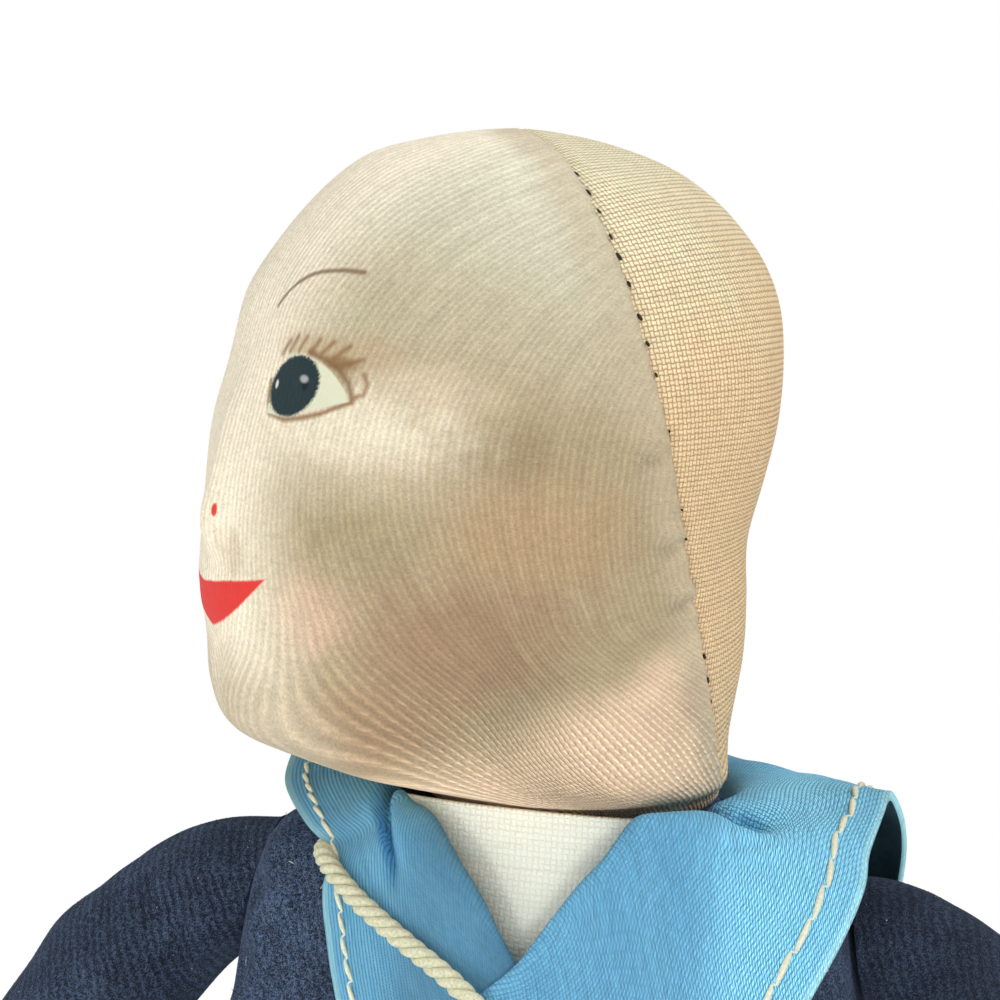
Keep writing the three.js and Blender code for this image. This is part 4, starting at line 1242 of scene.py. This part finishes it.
def make_hand(name, side):
    z, thick, wide = section_rows(HAND_SECTIONS, HAND_ROWS).T[..., None]
    theta = round_angles(HAND_COLUMNS)[None]
    mitt = np.stack([wide * np.cos(theta), thick * np.sin(theta), z + 0 * theta], -1)
    c, s = math.cos(THUMB_SPREAD), math.sin(THUMB_SPREAD)
    spread = np.array([(c, 0, -s), (0, 1, 0), (s, 0, c)])
    thumb = ball(THUMB_ROWS, HAND_COLUMNS, 0.02) * THUMB_REACH @ spread + THUMB_PLACE
    frame_axes = np.stack([(0, 1, 0), np.cross(ARM_RUN, (0, 1, 0)), ARM_RUN])
    heap = Heap()
    for grid in (mitt, thumb):
        heap.add(loft(mirrored(arm_place(CUFF + grid @ frame_axes), side)))
    hand = join_smoothly(heap.mesh(name + "_hand_knit", MITT), 0.45, 6)
    wear(hand, name + "_arm", "stockinette", name + "_hand")


LEG_CENTRE = 22
HEM = 12
LEG_ROWS, HEM_ROWS, LEG_COLUMNS = 150, 12, 140
LEG_SECTIONS = [
    (HEM, 22, 20, 19), (HEM + 12, 20.5, 18.6, 18.2), (HEM + 34, 18.4, 17.4, 16.8), (70, 18.4, 17.8, 16.2),
    (CROTCH - 24, 20, 19.2, 16.4), (HIP[1] - 4, 22, 20.4, 17.2), (HIP[1] + 14, 20.5, 19.4, 16),
    (HIP[1] + 25, 15, 14, 11.5),
]
LEG_SQUARENESS = 2.15


def make_leg(name, side):
    rows = section_rows(LEG_SECTIONS, LEG_ROWS)
    inside = rows[:HEM_ROWS][::-1].copy()
    inside[:, 1:] -= np.linspace(8, 0.4, HEM_ROWS)[:, None]
    rows = np.concatenate([inside[:-1], rows])
    points = oval(round_angles(LEG_COLUMNS)[None], rows, LEG_SQUARENESS, LEG_CENTRE)
    point, axis = joint_face(HIP, 1)
    points = pressed(points, point, -axis)
    points = points + 0.35 * ripple(points + 70 * side, 22, 8)[..., None] * grid_normals(points, True)
    points = mirrored(points, side)
    point, axis = joint_face(HIP, side)
    held = near_joints(points, [(point, axis)])
    held[:HEM_ROWS + 2] = True
    points = kept_behind(puff(points, held), point, -axis)
    shown = points[HEM_ROWS - 1:]
    bare = near_joints(shown, [(point, axis)])
    dress_pile(name + "_trouser", name + "_leg", shown, bare, TROUSER_PILE, 47 + side)
    leg = new_mesh(name + "_trouser_velveteen", *loft(points), VELVET)
    wear(leg, name + "_leg", "navy_velveteen", name + "_trouser_leg", name + "_leg_stuffing")


SHOE_SECTIONS = [
    (2.5, 28.6, 14.6, 11.9), (3.4, 29, 15, 12.3), (6.5, 28, 15.2, 12.6), (8.2, 25, 14.7, 12.2),
    (9.4, 20, 13.6, 11.4), (10.6, 12.5, 11.6, 9.9), (11.4, 8, 10, 9), (18, 8, 10, 9),
]
SOLE_SECTIONS = [
    (0, 29, 15, 12.3), (0.25, 29.5, 15.5, 12.8), (0.7, 29.6, 15.6, 12.9), (1.6, 29.6, 15.6, 12.9),
    (2.0, 29.4, 15.4, 12.7), (2.2, 28.6, 14.6, 11.9),
]
FOOT_SQUARENESS = 2.1
SHOE_ROWS, SOLE_ROWS, FOOT_COLUMNS = 70, 24, 120


def make_foot(name, side):
    theta = round_angles(FOOT_COLUMNS)[None]
    for part, sections, count, material in (
            ("shoe", SHOE_SECTIONS, SHOE_ROWS, BLACK), ("sole", SOLE_SECTIONS, SOLE_ROWS, SOLE)):
        points = oval(theta, section_rows(sections, count), FOOT_SQUARENESS, LEG_CENTRE)
        obj = new_mesh(f"{name}_{part}_cloth", *loft(mirrored(points, side)), material)
        wear(obj, name + "_leg", "black_cloth", f"{name}_{part}")


make_torso()
for name, side in SIDES.items():
    make_sleeve(name, side)
    make_hand(name, side)
    make_leg(name, side)
    make_foot(name, side)


# Dickey: a woven panel over the chest, in the collar's opening

DICKEY_TOP, DICKEY_FOOT, DICKEY_DEPTH, DICKEY_RISE, DICKEY_CLOTH = 15.5, 5, 26, 2.4, 0.7


def chest_front(x, z):
    """Front of the torso at a place on the front view."""
    sections = np.array(TORSO_SECTIONS, float)
    rows = smooth_through(sections[:, 0], sections, z.ravel()).reshape(*z.shape, 4)
    across = np.clip(np.abs(x) / rows[..., 3], 0, 0.999) ** TORSO_SQUARENESS
    ahead = (1 - across) ** (1 / TORSO_SQUARENESS)
    return (rows[..., 2] - rows[..., 1]) / 2 - (rows[..., 1] + rows[..., 2]) / 2 * ahead


def make_dickey():
    rows, columns = 70, 80
    v, u = np.meshgrid(np.linspace(0, 1, rows), np.linspace(-1, 1, columns), indexing="ij")
    z = NECK - DICKEY_DEPTH + v * (DICKEY_DEPTH + DICKEY_RISE)
    x = u * (DICKEY_FOOT + (DICKEY_TOP - DICKEY_FOOT) * v)
    y = chest_front(x, np.minimum(z, NECK - 3.8)) - GAP - DICKEY_CLOTH - 0.4 * ease(z, NECK - 8, NECK - 3)
    points = np.stack([x, y, z], -1)
    dickey = new_mesh("dickey_cloth", points, grid_faces(rows, columns), CREAM,
                      chart=np.stack([x, z, 0 * x], -1).reshape(-1, 3))
    thicken(dickey, DICKEY_CLOTH)
    wear(dickey, "torso", "cream_cotton", "dickey")


make_dickey()


# Collar: from the left lapel's tip round the back to the right lapel's tip.
# Each column runs from the sewn edge over the roll, its front and the middle to the outer edge.

COLLAR_COLUMNS = np.array([
    ((-2.8, -25.4, -19.6), (-3.5, -27.2, -17.6), (-2.6, -28.3, -19.2), (-1.6, -28.8, -31), (-1, -28.6, -46)),
    ((2.6, -25, -14.4), (1.6, -27.2, -12.7), (3.2, -28, -14), (8, -27.8, -25), (13, -27.2, -41)),
    ((6.6, -24, -9.4), (5.2, -26.2, -6.9), (7.4, -27.2, -8.2), (15, -26.8, -18.6), (24.5, -25.6, -31)),
    ((10.4, -22.2, -4.8), (9, -24.8, -1.8), (11.4, -26, -2.8), (20.4, -25.2, -9), (31.6, -23.2, -14.6)),
    ((13.4, -18.2, -1.6), (12.6, -21.8, 2.9), (15.6, -23.4, 3.4), (24, -22.4, -3.4), (34.4, -19, -8.3)),
    ((14.8, -13.6, -1.2), (17, -17, 2.7), (20, -18, 3.4), (27, -16.8, -0.2), (35.6, -14, -4)),
    ((15.6, -11.4, -1.4), (18.8, -12.2, -2.4), (21.8, -12.8, -1), (27.8, -12.4, 1), (35.5, -9.4, -1.2)),
    ((16.8, -9, -1.2), (18.6, -9.4, 2), (22.4, -9.4, 2.5), (29, -8, 2.1), (36, -3.4, 1.2)),
    ((18.5, 0, -1.2), (20.2, 0.2, 1.8), (24.4, 0.8, 2.6), (30.6, 1.4, 2.9), (36.2, 4, 2.2)),
    ((16.7, 8, -1.2), (18.5, 9.2, 1.6), (23.4, 11, 1.8), (30, 11, 1), (36.8, 12.6, -4)),
    ((12.8, 13.4, -1.2), (13.6, 16, 1.4), (18, 19.6, 0.4), (25.4, 20.4, -3.4), (36.2, 17.4, -12)),
    ((7, 17.2, -1.2), (7, 19.8, 2.2), (11.5, 22.6, -1.5), (19.4, 23.4, -13), (33, 20.6, -30)),
    ((2.4, 18.4, -1.2), (2.2, 20.8, 2.2), (5, 23.4, -3), (11, 24.2, -22), (31.6, 20.8, -55)),
    ((0, 18.5, -1.2), (0, 20.9, 2.2), (0, 23.6, -3), (0, 24.6, -22), (0, 24.6, -56)),
    ((-2.4, 18.4, -1.2), (-2.2, 20.8, 2.2), (-5, 23.4, -3), (-11, 24.2, -22), (-31.6, 20.8, -55)),
    ((-7, 17.2, -1.2), (-7, 19.8, 2.2), (-11.5, 22.6, -1.5), (-19.4, 23.4, -13), (-33, 20.6, -30)),
    ((-12.8, 13.4, -1.2), (-13.6, 16, 2.2), (-17.6, 19.4, 2.4), (-23.4, 20, -2), (-32.6, 18, -12)),
    ((-16.7, 8, -1.2), (-18.3, 9.8, 2.1), (-22.4, 10.6, 2.9), (-27, 10.5, 1.9), (-32.4, 9.8, -1.6)),
    ((-18.5, 0, -1.2), (-20.5, 0, 1.9), (-23.6, -0.2, 2.9), (-27.6, -0.6, 2.5), (-31.6, -1, 1.4)),
    ((-17, -8.2, -1.2), (-18.2, -9.8, 1.7), (-20.8, -10.2, 2.4), (-25.2, -10, 1.5), (-29.9, -9.8, -0.4)),
    ((-14.4, -14.4, -1.2), (-15, -16.4, 1.7), (-17.4, -17.6, 1.8), (-20.8, -17.6, -0.2),
     (-25.4, -16.2, -2.6)),
    ((-12.8, -16.8, -2), (-13.2, -19, 1.6), (-15, -20.6, 1), (-17.8, -20.6, -1.8), (-21.6, -19.4, -4.6)),
    ((-10.6, -19.4, -3.2), (-10.8, -21.4, 1), (-12.6, -23, 0), (-16.2, -23, -4.2), (-21.5, -21.9, -8.8)),
    ((-7.4, -22.4, -5.2), (-7.4, -24.2, -1.8), (-9, -25.3, -3.2), (-13, -25.4, -9.4), (-19.3, -25, -17)),
    ((-3.2, -24, -10.2), (-2.8, -25.7, -8), (-4.2, -26.3, -9.4), (-8.4, -26.6, -18), (-15, -26.8, -30)),
    ((0.6, -24.6, -15.4), (0.8, -26, -13.6), (-0.2, -26.4, -15.4), (-2.4, -26.9, -28), (-4, -27, -46)),
])
COLLAR_CLOTH = 1.1
# Furrows and ridges on the front view: a line from its deep end, its height and its width
COLLAR_FOLDS = [
    ([(-18, 3.4), (-15.9, 1), (-14.3, -1.4), (-12.5, -7.6)], -4.2, 0.75),
    ([(-15, 2), (-13, -1), (-11, -6)], 0.7, 1.3),
    ([(21.6, 1.2), (23.4, 1), (26, 0.2)], -0.9, 0.6),
    ([(21.8, 2.6), (24.6, 2), (28, 0.6)], -0.5, 0.7),
    ([(22.4, 0), (24.8, -1.2), (28, -4)], -0.7, 0.8),
    ([(22.4, -1.4), (23.6, -3.4), (25, -7)], -0.5, 0.9),
]
FOLD_WAY = np.array([0, -0.8, 0.6])
HEAD_FOOT_ROWS = 8
HEAD_ROOM = 0.45
HEAD_EASE = 0.3
# Distance of the stitching from the collar's edge, how much more it is on the left, and where it pinches in
STITCH_INSET, INSET_LEFT, INSET_PINCH, PINCH_COLUMN = 2.5, 1.7, 1.8, 21
STITCH_RADIUS = 0.36
STITCH_GAP = 0.25


def fold(points, line, height, width):
    """Furrow or ridge along a line on the front view, fading towards the line's end."""
    line = resample(line, 24)
    share = run_length(line) / run_length(line)[-1]
    gap = np.linalg.norm(points[..., None, [0, 2]] - NECK_BASE[[0, 2]] - line, axis=-1)
    fade = ease(share[gap.argmin(-1)], 1, 0.35)
    return height * bump_at(gap.min(-1), 0, width) * fade * ease(points[..., 1], -6, -12)


def make_topstitch(line, face):
    """Slanting stitches of one thread along a line on the collar."""
    run = run_length(line)
    sewn, width = [], []
    rng = np.random.default_rng(17)
    start = 4.0
    while start < run[-1] - 8:
        length = 2.5 + 1.4 * float(ease(np.interp(start, run, line[:, 0]), -20, 0)) + rng.uniform(-0.3, 0.3)
        at = np.linspace(start, start + length, 9)
        path, out = along_run(at, run, line), along_run(at, run, face)
        beside = unit(np.cross(out, np.gradient(path, axis=0)))
        taper = np.sqrt(np.sin(np.linspace(0.3, math.pi - 0.3, 9)))
        lift = STITCH_RADIUS * (taper * 1.3 - 0.9)
        slant = np.linspace(-0.2, 0.2, 9) + rng.uniform(-0.1, 0.1)
        sewn.append(path + lift[:, None] * out + slant[:, None] * beside)
        width.append(STITCH_RADIUS * taper * (0.75 + 0.25 * ease(path[:, 0], -10, 10)))
        start += length + STITCH_GAP
    stitches = new_mesh("collar_topstitch", *tube(np.concatenate(sewn), np.concatenate(width)), SEWING)
    wear(stitches, "torso", "cream_cotton")


def make_collar():
    columns, rows = 420, 96
    count, stops = COLLAR_COLUMNS.shape[:2]
    column = np.linspace(0, count - 1, columns)
    along = smooth_through(np.arange(count), COLLAR_COLUMNS, column)
    down = smooth_through(np.arange(stops), np.swapaxes(along, 0, 1), np.linspace(0, stops - 1, rows))
    points = down[::-1] + NECK_BASE
    low = np.stack([run_length(points[:, j]) for j in range(columns)], 1)
    across = np.stack([run_length(points[i]) for i in range(rows)], 0)
    inset = STITCH_INSET + INSET_LEFT * ease(points[0, :, 0], -20, 20)
    inset = inset - INSET_PINCH * bump_at(column, PINCH_COLUMN, 0.7)
    rise = 0.12 * ripple(points, 9, 31) + 0.2 * ease(low, inset + 0.4, inset - 0.3)
    skin = points + (rise + COLLAR_CLOTH / 2)[..., None] * grid_normals(points)
    for line, height, width in COLLAR_FOLDS:
        skin = skin + fold(points, line, height, width)[..., None] * FOLD_WAY
    heights, reaches = np.array(HEAD_SECTIONS).T[:2, :HEAD_FOOT_ROWS]
    room = np.interp(np.hypot(skin[..., 0], skin[..., 1]), reaches, heights) - HEAD_ROOM
    spare = NECK + room - skin[..., 2]
    skin[..., 2] = NECK + room - HEAD_EASE * np.logaddexp(0, spare / HEAD_EASE)
    collar = new_mesh("collar_cloth", skin, grid_faces(rows, columns), BLUE,
                      chart=np.stack([across, low, low], -1).reshape(-1, 3))
    # The collar's inside takes the dark lining, which is painted shade
    thicken(collar, COLLAR_CLOTH, SHADE_LINING)
    wear(collar, "torso", "blue_cotton", "collar")
    line, face = (np.array([along_run(inset[j], low[:, j], grid[:, j]) for j in range(columns)])
                  for grid in (skin, grid_normals(skin)))
    make_topstitch(line, face)


make_collar()


# Joint hardware keeps its solids

for node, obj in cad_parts.items():
    if node.endswith("_disc"):
        finish_material = BOARD
    elif node.endswith(("_washer", "_pin")):
        finish_material = METAL
    else:
        continue
    obj.data.materials.clear()
    obj.data.materials.append(finish_material)


# Stage: pale floor that keeps the shadow near the doll, white beyond, and soft studio light

def seen_directly(tree):
    """1 where the camera sees a thing, itself or mirrored, and 0 where the thing only lights others."""
    path = tree.nodes.new("ShaderNodeLightPath")
    rays = [Sig(tree, path.outputs[f"Is {kind} Ray"]) for kind in ("Camera", "Glossy", "Transmission")]
    return rays[0].most(rays[1]).most(rays[2])


def make_floor():
    reach, clear_from, clear_to = 4.0, 0.2, 0.55
    corners = [(-reach, -reach, 0), (reach, -reach, 0), (reach, reach, 0), (-reach, reach, 0)]
    mesh = bpy.data.meshes.new("floor")
    mesh.from_pydata(corners, [], [(0, 1, 2, 3)])
    paint = Paint("floor", roughness=0.9)
    x, y, z = paint.place()
    away = (x * x + y * y).op("SQRT") * MM
    grain = paint.noise(paint.vector(x, y, z), 30, 3.0)
    tree = paint.tree
    plug(tree, paint.mix(grain, (0.86, 0.86, 0.85), (0.9, 0.9, 0.89)), paint.shader.inputs["Base Color"])
    glow = tree.nodes.new("ShaderNodeEmission")
    blend = tree.nodes.new("ShaderNodeMixShader")
    clear = seen_directly(tree) * away.step(clear_from, clear_to)
    for slot, value in zip(blend.inputs, (clear, paint.shader.outputs[0], glow.outputs[0])):
        plug(tree, value, slot)
    plug(tree, blend.outputs[0], tree.nodes["Material Output"].inputs["Surface"])
    mesh.materials.append(paint.material)
    add_object("floor", mesh)


def make_world(light=0.27):
    world = bpy.data.worlds.new("studio")
    bpy.context.scene.world = world
    world.use_nodes = True
    tree = world.node_tree
    background = tree.nodes["Background"]
    background.inputs["Color"].default_value = (1, 1, 1, 1)
    plug(tree, seen_directly(tree) * (1 - light) + light, background.inputs["Strength"])


def make_lamp(name, kind, azimuth, elevation, distance, power, aim=(0, 0, 0), **settings):
    """Light at a distance in metres, aimed at a place given in millimetres from the neck's base."""
    back = Vector(direction(azimuth, elevation))
    data = bpy.data.lights.new(name, kind)
    data.energy = power
    for key, value in settings.items():
        setattr(data, key, value)
    obj = add_object(name, data)
    obj.location = Vector(place(NECK_BASE + aim)[0]) + back * distance
    obj.rotation_euler = back.to_track_quat("Z", "Y").to_euler()


make_floor()
make_world()
make_lamp("key", "AREA", 8, -9, 0.9, 4.8, size=0.7)
make_lamp("fill", "AREA", -15, -26, 0.5, 0.45, size=0.3)
make_lamp("throat", "SPOT", 2, -20, 0.5, 4.0, aim=(-3, -24, -7), spot_size=math.radians(11), spot_blend=1.0,
          shadow_soft_size=0.06)
make_lamp("left", "AREA", -62, 40, 1.0, 4.0, size=0.8)
make_lamp("right", "AREA", 95, 52, 1.0, 7.0, size=0.8)
bpy.context.scene.view_settings.view_transform = "Standard"
